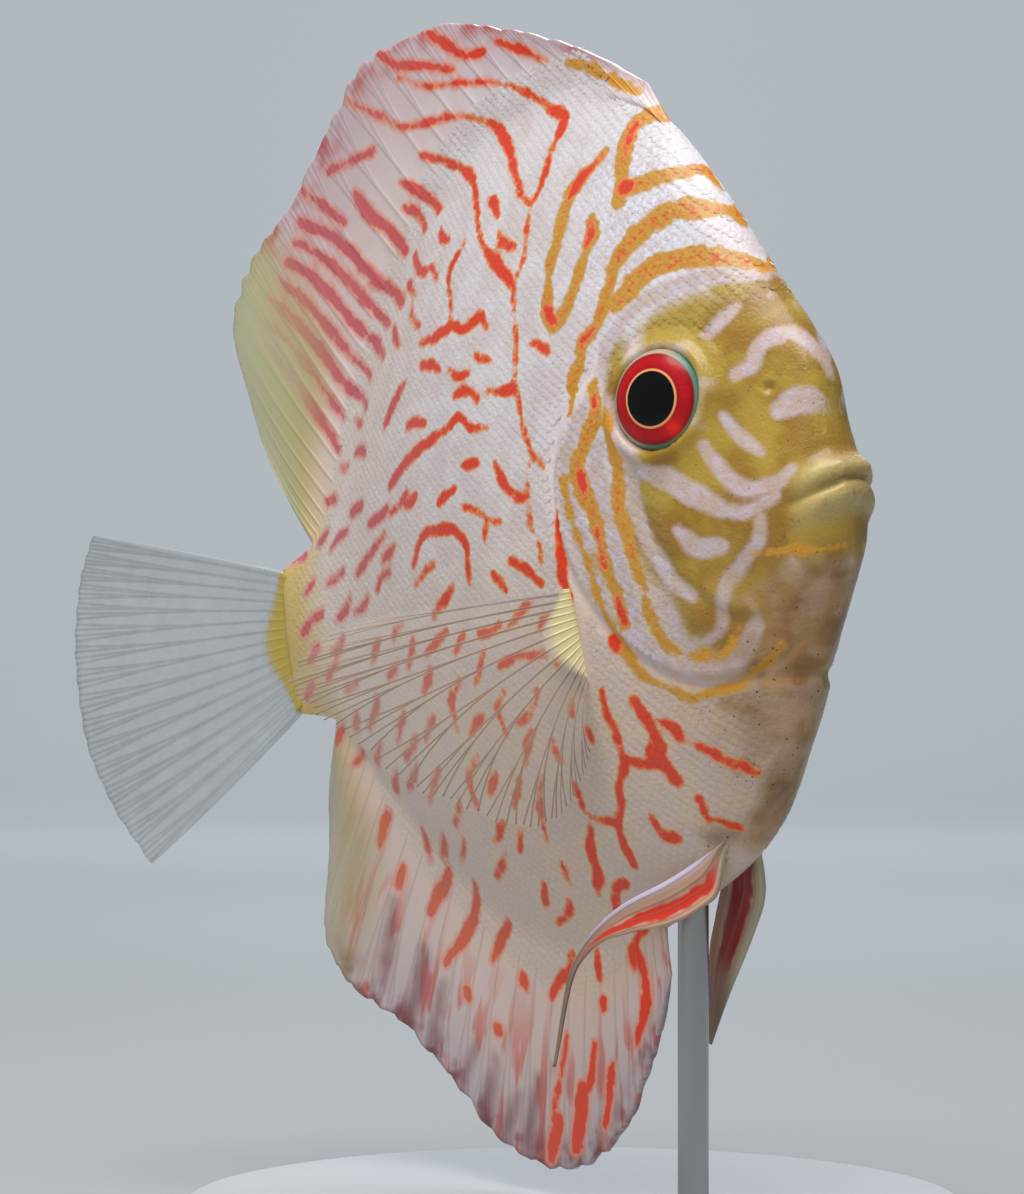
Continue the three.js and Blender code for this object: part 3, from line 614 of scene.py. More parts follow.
PALE_STROKES: Strokes = (
    (2.6, (764, 274), (741, 276), (710, 277), (680, 285), (650, 298), (627, 318), (610, 340), (600, 370)),
    (1.9, (735, 307), (723, 320), (708, 334)),
    (2.4, (735, 374), (752, 366), (758, 348), (772, 337), (791, 333), (811, 345), (827, 359), (836, 378)),
    (3.6, (780, 410), (797, 400), (817, 397), (842, 404)),
    (1.8, (723, 417), (735, 431), (748, 443), (761, 453)),
    (2.2, (703, 447), (715, 463), (731, 480), (752, 489), (774, 484), (791, 469)),
    (3.0, (642, 471), (662, 477), (682, 488), (703, 500), (723, 511)),
    (2.0, (719, 509), (744, 513), (760, 505), (775, 495)),
    (2.0, (627, 443), (634, 459), (642, 471)),
    (2.4, (608, 402), (618, 431), (629, 467), (635, 504), (648, 541), (662, 563), (678, 586), (694, 596)),
    (2.2, (761, 516), (758, 541), (744, 561), (729, 580), (724, 603), (724, 625), (709, 642)),
    (2.2, (712, 640), (692, 645), (680, 626), (671, 603)),
    (2.6, (678, 531), (700, 548), (723, 546)),
    (3.2, (597, 447), (601, 480), (608, 508), (615, 545), (627, 586), (637, 630), (655, 656), (680, 672)),
    (3.2, (680, 672), (705, 675), (731, 664), (748, 644), (758, 624)),
    (3.0, (588, 405), (573, 443), (566, 469), (570, 500), (582, 531), (595, 571), (605, 606), (622, 641)),
)
# Brown of the chin, throat and chest: partly the skin's own colour, partly painted shade on the underside of
# the head.
UMBER_STROKES: Strokes = (
    (9, (775, 600), (815, 590), (850, 590)),
    (12, (765, 660), (795, 650), (830, 640)),
    (7, (815, 690), (803, 730), (793, 770), (780, 810), (765, 838)),
    (5, (725, 706), (760, 705), (800, 700)),
    (3.5, (735, 765), (770, 770)),
    (3.5, (712, 838), (750, 832)),
)
WINE_STROKES: Strokes = (
    (2.8, (521, 1097), (515, 1118), (503, 1149)),
    (2.6, (396, 905), (390, 950), (384, 985)),
    (3.4, (428, 950), (420, 985), (410, 1020)),
    (2.6, (447, 985), (440, 1015), (432, 1045)),
    (2.4, (480, 1045), (470, 1075), (462, 1100)),
    (2.8, (500, 1060), (492, 1100), (484, 1130)),
    (2.4, (540, 1080), (534, 1120), (528, 1165)),
)
STROKES: dict[Mark, Strokes] = {
    Mark.RED: RED_STROKES,
    Mark.AMBER: AMBER_STROKES,
    Mark.OCHRE: OCHRE_STROKES,
    Mark.PALE: PALE_STROKES,
    Mark.UMBER: UMBER_STROKES,
    Mark.WINE: WINE_STROKES,
}


@dataclass(frozen=True)
class Dashes:
    """Short red dashes that fill the rear flank, fanned from the gill like the long lines."""

    spacing: float = 6.4
    shortest: float = 3.5
    longest: float = 6.6
    widths: tuple[float, float] = (1.1, 1.8)
    room: float = 1.7
    level: float = 56
    ends: tuple[float, float] = (46, 116)
    jitter: float = 0.8
    leans: Points = ((-50, -42), (-10, -26), (10, -8), (25, 20), (50, 48))
    lean_jitter: float = 9
    bow: float = 0.14
    from_gill: float = 4
    seed: int = 5

    def lines(self, taken: Callable[[float, float], float], form: BodyForm) -> list[tuple[Array, float]]:
        """Return each dash's points and half width.

        Args:
            taken: the distance to the nearest line drawn before, at back and up.
            form: the body to be covered.

        Returns:
            Pairs of points and half width.
        """
        random = np.random.default_rng(self.seed)
        found = []
        first, last = self.ends
        for row, up in enumerate(np.arange(-self.level, self.level, self.spacing * 0.8)):
            for back in np.arange(first + (row % 2) * self.spacing / 2, last, self.spacing):
                b, u = back + random.normal(0, self.jitter), up + random.normal(0, self.jitter)
                low, _, high = form.limits(b)
                length = random.uniform(self.shortest, self.longest) * (1 - 0.35 * float(ease(b, 90, 112)))
                width = random.uniform(*self.widths)
                lean = np.interp(u, *np.transpose(self.leans)) + random.normal(0, self.lean_jitter)
                forward = np.array([math.cos(math.radians(lean)), math.sin(math.radians(lean))])
                share = np.linspace(-1, 1, 5)[:, None]
                bow = self.bow * length * random.uniform(-1, 1) * (1 - share**2)
                line = np.array([b, u]) + share * length / 2 * forward + bow * forward[::-1] * (-1, 1)
                crowded = min(taken(*spot) for spot in line[::2]) < self.room
                if crowded or not low - 2 < u < high + 2 or float(form.gill(b, u)[0]) < self.from_gill:
                    continue
                found.append((line, width / 2))
        return found


class MarkMap:
    """Signed distances to the strokes over the side view, in mm, negative inside."""

    cell = 0.25
    reach = 5.0
    corner = (-12.0, -95.0)
    size = (190.0, 185.0)
    step = 0.3
    thin_end = 0.62
    back_wave = (1.6, 8.5, 1.3)
    up_wave = (1.4, 9.5, 0.4)
    drift_from = (30, 45)

    def __init__(self, camera: PhotoCamera, form: BodyForm) -> None:
        """Measure every stroke and dash once.

        Args:
            camera: the fitted camera that the strokes are seen through.
            form: the body that they lie on.
        """
        shape = [int(side / self.cell) + 1 for side in self.size]
        self.form = form
        self.maps = {kind: np.stack([np.full(shape, v) for v in (self.reach, 0.5, 0.0)]) for kind in Mark}
        for kind, strokes in STROKES.items():
            for width, *pixels in strokes:
                self.draw(kind, camera.cast(pixels, form), width / 2)
        for line, half in Dashes().lines(self.nearest_line, form):
            self.draw(Mark.RED, line, half)

    def nearest_line(self, back: float, up: float) -> float:
        """Return the distance to the nearest red or amber line."""
        place = np.array(back), np.array(up), -self.form.half_width(back, up)
        return min(float(self.read(kind, *place)) for kind in (Mark.RED, Mark.AMBER))

    def draw(self, kind: Mark, line: Array, half: float) -> None:
        """Stamp one line into its kind's map."""
        pad = int((self.reach + half) / self.cell)
        for spot, width in self.trail(line, half):
            self.stamp(self.maps[kind], spot, width, pad)

    def trail(self, line: Array, half: float) -> list[tuple[Array, float]]:
        """Return close points along a stroke, smoothed, with its half width tapering at the ends.

        Args:
            line: points of the stroke in the side view.
            half: half of its width in mm.

        Returns:
            Each point with its half width.
        """
        share = np.linspace(0, 1, len(line))
        length = np.hypot(*np.diff(line, axis=0).T).sum()
        count = max(int(length / self.step), 3)
        at = np.linspace(0, 1, count)
        curves = [smooth_curve(list(zip(share, column))) for column in line.T]
        spots = np.stack([curve(at) for curve in curves], axis=-1)
        full = np.sin(np.pi * np.clip(at, 0.02, 0.98)) ** 0.5
        taper = self.thin_end + (1 - self.thin_end) * full
        return list(zip(spots, half * taper))

    def stamp(self, grid: Array, spot: Array, half: float, pad: int) -> None:
        """Lower the grid round one spot to its distance, and note its half width and place out.

        Args:
            grid: a kind's three layers: distance, half width and place out.
            spot: the point in the side view.
            half: the stroke's half width there in mm.
            pad: how many cells the spot reaches.
        """
        i, j = ((spot - self.corner) / self.cell).astype(int)
        rows = slice(max(i - pad, 0), min(i + pad, grid.shape[1]))
        columns = slice(max(j - pad, 0), min(j + pad, grid.shape[2]))
        if rows.start >= rows.stop or columns.start >= columns.stop:
            return
        a = self.corner[0] + self.cell * np.arange(rows.start, rows.stop)
        b = self.corner[1] + self.cell * np.arange(columns.start, columns.stop)
        distance = np.hypot(a[:, None] - spot[0], b[None] - spot[1]) - half
        window = grid[:, rows, columns]
        out = float(self.form.half_width(spot[0], spot[1]))
        nearer = distance < window[0]
        for layer, value in enumerate((distance, half, out)):
            window[layer] = np.where(nearer, value, window[layer])

    def read(self, kind: Mark, back: Array, up: Array, out: Array) -> Array:
        """Return the signed distance at points, the left side's pattern drifting a little.

        Args:
            kind: the kind of marking.
            back: distance behind the snout.
            up: height above the mouth.
            out: distance from the middle plane, above 0 on the left side.

        Returns:
            The distance over the skin, also where it turns away at the snout.
        """
        drift = np.where(out > 0, ease(back, *self.drift_from), 0.0)
        at_back = back + drift * wave(up, *self.back_wave)
        at_up = up + drift * wave(back, *self.up_wave)
        grid, half, place = self.maps[kind]
        x = np.clip((at_back - self.corner[0]) / self.cell, 0, grid.shape[0] - 1.001)
        y = np.clip((at_up - self.corner[1]) / self.cell, 0, grid.shape[1] - 1.001)
        i, j = x.astype(int), y.astype(int)
        s, t = x - i, y - j
        low = grid[i, j] * (1 - s) + grid[i + 1, j] * s
        high = grid[i, j + 1] * (1 - s) + grid[i + 1, j + 1] * s
        flat = low * (1 - t) + high * t
        aside = (np.abs(out) - place[i, j]) * ease(at_back, 40, 25)
        far = np.hypot(np.maximum(flat + half[i, j], 0), aside) - half[i, j]
        return np.where(np.abs(aside) > 0.3, np.maximum(far, flat), flat)

    def dress(self, piece: Piece, view: SideView) -> None:
        """Store every mark and the regions of the body on a piece's vertices.

        Args:
            piece: the piece to mark.
            view: the side view that its vertices are read in.
        """
        points = vertex_places(piece)
        back, up, out = view.unplace(points)
        for kind in Mark:
            store(piece, kind.value, self.read(kind, back, up, out))
        # painted shade: the lower jaw turns brown towards the bottom, stored with the chin
        jaw_shade = 0.5 * ease(up, -2, -14) * ease(back, 24, 14)
        level = self.form.mouth_level(back, up)
        regions = {
            "lips": ease(back, 11.5, 7) * ease(np.abs(level + 0.2), 4.8, 2.4),
            "chin": np.maximum(bump(oval(back, up, (16, -27), (11, 15))), jaw_shade),
            "nape": bump(oval(back, up, (27, 42), (14, 17))),
            "rear": ease(back, 62, 98),
            "low": ease(up, 16, -26),
            "stalk": ease(back, 103, 114),
        }
        for name, values in regions.items():
            store(piece, name, values)


def vertex_places(piece: Piece) -> Array:
    """Return a piece's vertices as an array."""
    flat = np.empty(len(piece.data.vertices) * 3)
    piece.data.vertices.foreach_get("co", flat)
    return flat.reshape(-1, 3)


def store(piece: Piece, name: str, values: Array) -> None:
    """Store one number for each vertex."""
    attribute = piece.data.attributes.new(name, "FLOAT", "POINT")
    attribute.data.foreach_set("value", np.asarray(values, np.float32).ravel())


def add_object(name: str, mesh: bpy.types.Mesh) -> Piece:
    """Put a mesh in the scene as an object at the origin."""
    piece = bpy.data.objects.new(name, mesh)
    bpy.context.scene.collection.objects.link(piece)
    return piece


def new_mesh(name: str, points: Array, faces: Sequence[Sequence[int]] = ()) -> bpy.types.Mesh:
    """Make a mesh from points in metres and the point numbers of each face."""
    mesh = bpy.data.meshes.new(name)
    mesh.from_pydata([tuple(p) for p in np.asarray(points, float)], [], [tuple(map(int, f)) for f in faces])
    return mesh


def make_piece(name: str, points: Array, faces: Sequence[Sequence[int]]) -> Piece:
    """Make a smooth mesh object at the origin, its faces turned outwards.

    Args:
        name: the piece's name.
        points: vertices in metres.
        faces: vertex numbers of each face.

    Returns:
        The new object.
    """
    mesh = new_mesh(name, points, faces)
    mesh.validate()
    shape = bmesh.new()
    shape.from_mesh(mesh)
    bmesh.ops.recalc_face_normals(shape, faces=shape.faces)
    shape.to_mesh(mesh)
    shape.free()
    mesh.polygons.foreach_set("use_smooth", [True] * len(mesh.polygons))
    return add_object(name, mesh)


def tube_faces(rows: int, columns: int, tips: bool = True) -> list[list[int]]:
    """Return the faces that join rings of points, numbered ring by ring, into a closed tube.

    Args:
        rows: the number of rings.
        columns: the points on each ring.
        tips: closes each end with a fan to a tip point that follows the rings, or else with one flat face.

    Returns:
        The point numbers of each face.
    """
    index = np.arange(rows * columns).reshape(rows, columns)
    after = np.roll(index, -1, axis=1)
    faces = np.stack([index[:-1], after[:-1], after[1:], index[1:]], axis=-1).reshape(-1, 4).tolist()
    if not tips:
        return [*faces, index[0].tolist(), index[-1][::-1].tolist()]
    for ring, tip in ((0, rows * columns), (-1, rows * columns + 1)):
        faces += [[a, b, tip] for a, b in zip(index[ring], after[ring])]
    return faces


def set_bake_map(piece: Piece, uv: Array) -> None:
    """Give a piece its unwrap from one u, v pair for each vertex."""
    layer = piece.data.uv_layers.new(name="OFBake")
    corners = np.empty(len(piece.data.loops), np.int32)
    piece.data.loops.foreach_get("vertex_index", corners)
    layer.data.foreach_set("uv", np.asarray(uv, np.float32)[corners].ravel())


def connect(tree: bpy.types.NodeTree, socket: bpy.types.NodeSocket, value: Any) -> None:
    """Link a node, socket or shader number to a socket, or set the socket to a plain value.

    Args:
        tree: the tree that holds both ends.
        socket: the input.
        value: what it gets.
    """
    if isinstance(value, Value):
        value = value.socket
    if isinstance(value, bpy.types.Node):
        value = value.outputs[0]
    if isinstance(value, bpy.types.NodeSocket):
        tree.links.new(value, socket)
    else:
        socket.default_value = value


def add_node(
    tree: bpy.types.NodeTree, kind: str, inputs: dict[Any, Any] | None = None, **settings: Any
) -> bpy.types.Node:
    """Add a node to a tree.

    Args:
        tree: the shader or geometry tree.
        kind: the node's type.
        inputs: values, sockets, shader numbers or nodes by input name or number.
        settings: the node's own properties.

    Returns:
        The node.
    """
    node = tree.nodes.new(kind)
    for key, value in settings.items():
        setattr(node, key, value)
    for key, value in (inputs or {}).items():
        connect(tree, node.inputs[key], value)
    return node


class Value:
    """A number in a shader; arithmetic on it adds the nodes that work it out."""

    def __init__(self, finish: "Finish", socket: bpy.types.NodeSocket) -> None:
        """Keep the socket that carries the number."""
        self.finish, self.socket = finish, socket

    def combine(self, operation: str, *terms: Any) -> "Value":
        """Return the result of one Math node."""
        return self.finish.number("ShaderNodeMath", dict(enumerate(terms)), operation=operation)

    def __add__(self, other: Any) -> "Value":
        """Return the sum."""
        return self.combine("ADD", self, other)

    def __mul__(self, other: Any) -> "Value":
        """Return the product."""
        return self.combine("MULTIPLY", self, other)

    def __sub__(self, other: Any) -> "Value":
        """Return the difference."""
        return self.combine("SUBTRACT", self, other)

    def __rsub__(self, other: float) -> "Value":
        """Return what is left of a plain number."""
        return self.combine("SUBTRACT", other, self)

    def __pow__(self, power: float) -> "Value":
        """Return the power."""
        return self.combine("POWER", self, power)

    def __abs__(self) -> "Value":
        """Return the size without its sign."""
        return self.combine("ABSOLUTE", self)

    def least(self, other: Any) -> "Value":
        """Return the smaller of two."""
        return self.combine("MINIMUM", self, other)

    def most(self, other: Any) -> "Value":
        """Return the larger of two."""
        return self.combine("MAXIMUM", self, other)

    def fraction(self) -> "Value":
        """Return the part past the whole number."""
        return self.combine("FRACT", self)

    __radd__ = __add__
    __rmul__ = __mul__


class Finish:
    """Base of the finishes: a node material with its shader and the patterns they share."""

    name = "finish"

    def __init__(self) -> None:
        """Make the material and its shader."""
        self.material = bpy.data.materials.new(self.name)
        self.material.use_nodes = True
        self.tree = self.material.node_tree
        self.shader = self.tree.nodes["Principled BSDF"]
        self.paint()

    def paint(self) -> None:
        """Add the finish's nodes."""

    def add(self, kind: str, inputs: dict[Any, Any] | None = None, **settings: Any) -> bpy.types.Node:
        """Add a node to this finish."""
        return add_node(self.tree, kind, inputs, **settings)

    def number(self, kind: str, inputs: dict[Any, Any], **settings: Any) -> Value:
        """Add a node and return its first output as a number."""
        return Value(self, self.add(kind, inputs, **settings).outputs[0])

    def shade(self, **values: Any) -> None:
        """Set or link the shader's sockets, an underscore standing for a space."""
        for key, value in values.items():
            connect(self.tree, self.shader.inputs[key.replace("_", " ")], value)

    def mask(self, value: Any, low: Any, high: Any) -> Value:
        """Return 1 where a value is under low and 0 over high, eased between."""
        ends = {0: value, 1: low, 2: high, 3: 1.0, 4: 0.0}
        return self.number("ShaderNodeMapRange", ends, interpolation_type="SMOOTHSTEP")

    def blend(self, share: Any, first: Any, second: Any) -> bpy.types.NodeSocket:
        """Return a colour between two, each an sRGB hex value or a socket."""
        colours = {key: linear(c) if isinstance(c, str) else c for key, c in ((6, first), (7, second))}
        return self.add("ShaderNodeMix", {0: share, **colours}, data_type="RGBA").outputs[2]

    def cover(self, colour: Any, *layers: tuple[Any, Any]) -> bpy.types.NodeSocket:
        """Return a colour under layers laid on in order, each by its share."""
        for share, layer in layers:
            colour = self.blend(share, colour, layer)
        return colour

    def read(self, name: str) -> Value:
        """Return a stored number."""
        return Value(self, self.add("ShaderNodeAttribute", attribute_name=name).outputs["Fac"])

    def place(self) -> bpy.types.NodeSocket:
        """Return the place on the piece in its own coordinates."""
        return self.add("ShaderNodeTexCoord").outputs["Object"]

    def noise(self, size_mm: float, detail: float = 2.0, place: Any = None) -> Value:
        """Return soft noise with lumps of a size in mm."""
        place = self.place() if place is None else place
        inputs = {"Vector": place, "Scale": grain(size_mm), "Detail": detail}
        return self.number("ShaderNodeTexNoise", inputs)

    def fibres(self, across: Value, along: Value, turn: Any = 0.0, detail: float = 2.0) -> Value:
        """Return noise drawn out along a surface's own two numbers."""
        place = self.add("ShaderNodeCombineXYZ", {0: across, 1: along, 2: turn})
        return self.number("ShaderNodeTexNoise", {"Vector": place, "Scale": 1.0, "Detail": detail})

    def relief(self, height: Any, depth_mm: float, strength: float) -> bpy.types.NodeSocket:
        """Return the normal of a surface that a height from 0 to 1 raises by a depth."""
        inputs = {"Height": height, "Distance": depth_mm * MM, "Strength": strength}
        return self.add("ShaderNodeBump", inputs).outputs[0]


def grain(size_mm: float) -> float:
    """Return the texture scale that gives grains of a size in mm."""
    return 1 / (size_mm * MM)


class LivingSkin(Finish):
    """Moist scaled skin, so pearly, with painted bands under a thin glossy mucus coat."""

    name = "moist_fish_skin"
    pearl = "#DED3D4"
    pearl_shade = "#CDB9B4"
    warm = "#DABEA6"
    flank = "#DCC8BC"
    stalk = "#CDAE4C"
    # painted iridescent sparkle of the nape
    nape_sparkle = "#E4E4F4"
    ochre = "#B09338"
    ochre_deep = "#987224"
    pale = "#CDBCC6"
    pale_warm = "#C6AFA4"
    lips = "#CDBB84"
    amber = "#CC9430"
    amber_core = "#E0601A"
    red = "#E23A14"
    red_edge = "#E88A48"
    soft_edge = "#DB9A8C"
    rose = "#C8646A"
    salmon = "#D0694C"
    umber = "#875F30"
    umber_light = "#A07A4A"
    wine = "#7E4A50"
    pepper = "#1D1712"
    scale_edge = "#8F8284"
    bump_mm = 0.22
    pepper_mm = 1.1

    def markings(self, ground: Any) -> bpy.types.NodeSocket:
        """Lay the painted bands and red lines over a ground colour.

        Args:
            ground: the colour below.

        Returns:
            The painted colour; the stored distances in mm wobble so that no edge is ruled.
        """
        broad = (self.noise(3.2) - 0.5) * 1.9
        wobble = self.noise(1.1) - 0.5 + broad
        blotch = self.noise(0.7, 3)
        chin = self.read("chin")
        ochre_spot = self.blend(self.mask(self.noise(7), 0.4, 0.62), self.ochre_deep, self.ochre)
        pale_spot = self.blend(self.mask(self.noise(2.2), 0.4, 0.62), self.pale, self.pale_warm)
        brown_and_shade = self.blend(self.mask(self.noise(6), 0.36, 0.66), self.umber, self.umber_light)
        mottled = self.mask(self.noise(4, 3), 0.6, 0.4) * 0.25 + 0.72
        amber_at = self.read("amber") + wobble
        core = self.mask(amber_at, -1.2, -0.3) * self.mask(blotch, 0.6, 0.47)
        painted = self.cover(
            ground,
            (self.mask(self.read("ochre") + wobble, -1.8, 1.6), ochre_spot),
            # brown over the chin, throat and chest: partly the skin's own brown, partly painted shade under
            # the head
            (self.mask(self.read("umber") + broad, -2.2, 1.8).most(chin) * mottled, brown_and_shade),
            (self.mask(self.read("wine") + broad, -1.6, 1.2) * 0.7, self.wine),
            (self.read("lips") * (blotch * 0.5 + 0.3), self.lips),
            (self.mask(self.read("pale") + wobble * 0.6, -0.55, 0.5) * (0.9 - chin * 0.6), pale_spot),
            (self.mask(amber_at, -0.3, 0.3), self.blend(core, self.amber, self.amber_core)),
        )
        red_at = self.read("red") + wobble * 0.8
        heart = self.blend(self.read("rear"), self.red, self.blend(self.read("low"), self.rose, self.salmon))
        soft = self.read("rear").most((self.read("ray_t") * 3.0).least(0.7))
        edge = self.blend(soft, self.red_edge, self.soft_edge)
        line = self.blend(self.mask(red_at, -0.35, 0.05), edge, heart)
        return self.cover(
            painted,
            (self.mask(red_at, -0.1, soft * 0.5 + 0.32), line),
            (self.read("rim") * 0.14, self.scale_edge),
        )

    def ground(self) -> bpy.types.NodeSocket:
        """Return the pearly ground colour.

        Returns:
            The colour's socket.
        """
        return self.cover(
            self.pearl,
            (self.read("low"), self.warm),
            (self.mask(self.noise(5), 0.62, 0.38) * 0.5, self.pearl_shade),
            (self.read("rear") * 0.6, self.flank),
            (self.read("stalk") * 0.8, self.stalk),
            # painted sparkle: pale bluish specks on the nape that stand for the scales' iridescent sheen
            (self.mask(self.noise(0.6, 3), 0.62, 0.42) * self.read("nape"), self.nape_sparkle),
        )

    def peppered(self, colour: Any) -> bpy.types.NodeSocket:
        """Add the small dark spots of the forehead and chest."""
        cells = {"Vector": self.place(), "Scale": grain(self.pepper_mm)}
        dot = self.mask(self.number("ShaderNodeTexVoronoi", cells), 0.08, 0.17)
        face = self.mask(self.read("ochre"), -1.0, 1.0) * 0.4
        where = self.mask(self.read("umber"), -0.5, 4.0).most(self.read("nape") * 0.5).most(face)
        return self.blend(dot * where * self.mask(self.noise(5), 0.55, 0.44), colour, self.pepper)

    def paint(self) -> None:
        """Colour, a moist coat and a fine grain."""
        self.shade(
            Base_Color=self.peppered(self.markings(self.ground())),
            Roughness=self.number("ShaderNodeMapRange", {0: self.noise(1.5), 3: 0.34, 4: 0.52}),
            Normal=self.relief(self.noise(0.45, 3) + self.noise(2.0) * 0.6, self.bump_mm, 0.55),
            IOR=1.4,
            Coat_Weight=0.3,
            Coat_Roughness=0.2,
            Subsurface_Weight=0.1,
            Subsurface_Scale=1.5 * MM,
        )


class FinSkin(LivingSkin):
    """Fin membrane with rays: the skin's colours, thinner and clearer towards the edge."""

    name = "spread_fin_membrane"
    rays = 30
    forks = ((0.42, 0.45), (0.68, 0.4))
    outer = "#CDB6BC"
    margin = "#C2605C"
    lobe = "#B9B26A"
    ray = "#A98480"
    ray_mm = 0.3
    bump_mm = 0.15
    clear_from = 0.4
    clear_tip = 0.86

    def ray_line(self, width_mm: float) -> Value:
        """Return 1 on the middle of each ray, which forks twice towards its tip."""
        off = abs((self.read("ray_u") * float(self.rays)).fraction() - 0.5)
        for start, slope in self.forks:
            off = abs(off - (self.read("ray_t") - start).most(0.0) * slope)
        return self.mask(off * self.read("ray_gap"), width_mm * 0.35, width_mm)

    def ground(self) -> bpy.types.NodeSocket:
        """Return pearl at the root turning to rose at the edge, and olive on the soft lobe.

        Returns:
            The colour's socket.
        """
        return self.cover(
            super().ground(),
            (self.read("ray_t"), self.outer),
            (self.read("edge") * self.mask(self.noise(5), 0.66, 0.4), self.margin),
            (self.ray_line(self.ray_mm) * 0.16, self.ray),
            (self.read("lobe"), self.lobe),
        )

    def paint(self) -> None:
        """Colour, ray lines and a clearer edge."""
        lobe, along = self.read("lobe"), self.read("ray_t")
        height = self.ray_line(0.4) + self.noise(0.45, 3) * self.mask(along, 0.1, 0.5)
        clear = {0: along, 1: self.clear_from, 3: 1.0, 4: self.clear_tip}
        self.shade(
            Base_Color=self.blend(lobe * 0.75, self.markings(self.ground()), self.lobe),
            Alpha=self.number("ShaderNodeMapRange", clear) - lobe * 0.45,
            Roughness=0.42,
            Normal=self.relief(height, self.bump_mm, 0.35),
            Coat_Weight=0.25,
            Coat_Roughness=0.2,
            Subsurface_Weight=0.15,
            Subsurface_Scale=1.0 * MM,
        )


class AnalFinSkin(FinSkin):
    """The anal fin's membrane: cream with red streaks along its rays, dark wine tips."""

    name = "anal_fin_membrane"
    rays = 28
    outer = "#BFB0B4"
    margin = "#7A2C30"
    lobe = "#A59A54"
    ray = "#8A5A58"
    streak = "#CC4426"

    def streaks(self) -> Value:
        """Return irregular streaks that run along the rays, fuller towards the tips."""
        across = self.read("ray_u") * (self.rays * 1.6)
        pattern = self.fibres(across, self.read("ray_t") * 2.1, across * 0.2)
        return self.mask(pattern, 0.6, 0.5) * self.mask(1.0 - self.read("ray_t"), 0.3, 0.9)

    def ground(self) -> bpy.types.NodeSocket:
        """Return the streaked ground.

        Returns:
            The colour's socket.
        """
        return self.cover(
            LivingSkin.ground(self),
            (self.read("ray_t"), self.outer),
            (self.streaks() * 0.7, self.streak),
            (self.read("edge") * self.mask(self.noise(4), 0.66, 0.4), self.margin),
            (self.ray_line(self.ray_mm) * 0.2, self.ray),
        )


class ClearFinSkin(FinSkin):
    """A glass-clear membrane over fine brown rays, which are jointed like bamboo."""

    name = "clear_fin_membrane"
    rays = 14
    film = "#D8D2C6"
    ray = "#8A6A52"
    base = "#D8CC9A"
    film_alpha = 0.05
    ray_mm = 0.16
    bump_mm = 0.2
    bump_strength = 0.25
    strength = 0.8
    joints = 100.0

    def paint(self) -> None:
        """Clear film, jointed rays and a fleshy yellow root."""
        along = self.read("ray_t")
        line = self.ray_line(self.ray_mm)
        beaded = line * (self.mask((along * self.joints).fraction(), 0.55, 0.75) * 0.4 + 0.6)
        swell = abs(self.read("ray_u") - 0.5) ** 2.0 * 9.0 + 1.0
        root = self.mask(along * swell, 0.1, 0.19)
        faint = self.noise(3) * self.film_alpha + self.film_alpha * 0.6
        self.shade(
            Base_Color=self.cover(self.film, (beaded, self.ray), (root, self.base)),
            Alpha=(beaded * self.strength).most(root * 0.95) + faint,
            Roughness=0.45,
            Normal=self.relief(line, self.bump_mm, self.bump_strength),
        )


class TailFinSkin(ClearFinSkin):
    """The tail fin's membrane: a misty film with faint rays."""

    name = "tail_fin_membrane"
    rays = 16
    film = "#A6ABAC"
    ray = "#8E9392"
    base = "#B09A48"
    film_alpha = 0.3
    ray_mm = 0.3
    bump_strength = 0.1
    strength = 0.14


class PelvicFinSkin(FinSkin):
    """The right pelvic fin's skin: a lilac lead ray, a peach blade and one scarlet stripe."""

    name = "pelvic_fin_membrane"
    rays = 4
    blade = "#D6A988"
    blade_shade = "#C39A86"
    stripe = "#D0301A"
    lead = "#D2C6DC"
    tip = "#85806C"
    root = "#CDBBA4"
    ray = "#8C5A48"
    stripe_at = 0.66
    stripe_half = 0.12

    def paint(self) -> None:
        """Stripe along the blade, a pale front edge and a grey-green tip."""
        across, along = self.read("ray_u"), self.read("ray_t")
        off = abs(across + (self.noise(2.5) - 0.5) * 0.3 - self.stripe_at)
        stripe = self.mask(off, self.stripe_half, self.stripe_half + 0.1)
        colour = self.cover(
            self.blade,
            (self.noise(3), self.blade_shade),
            (stripe * self.mask(along, 0.62, 0.85), self.stripe),
            (self.mask(across, 0.1, 0.24), self.lead),
            (self.mask(1.0 - along, 0.12, 0.4), self.tip),
            (self.mask(along, 0.02, 0.14), self.root),
            (self.ray_line(self.ray_mm) * 0.3, self.ray),
        )
        self.shade(Base_Color=colour, Alpha=0.95, Roughness=0.4, Coat_Weight=0.25, Coat_Roughness=0.2)


class LeftPelvicFinSkin(PelvicFinSkin):
    """The left pelvic fin's skin: a dark red middle between pale olive edges, every colour darker than the
    right fin's as painted shade under the body.
    """

    name = "left_pelvic_fin_membrane"
    # painted shade: these darker colours stand for the shade over this fin
    blade = "#A89878"
    stripe = "#8E1A12"
    lead = "#B4A98C"
    stripe_at = 0.42
    stripe_half = 0.2


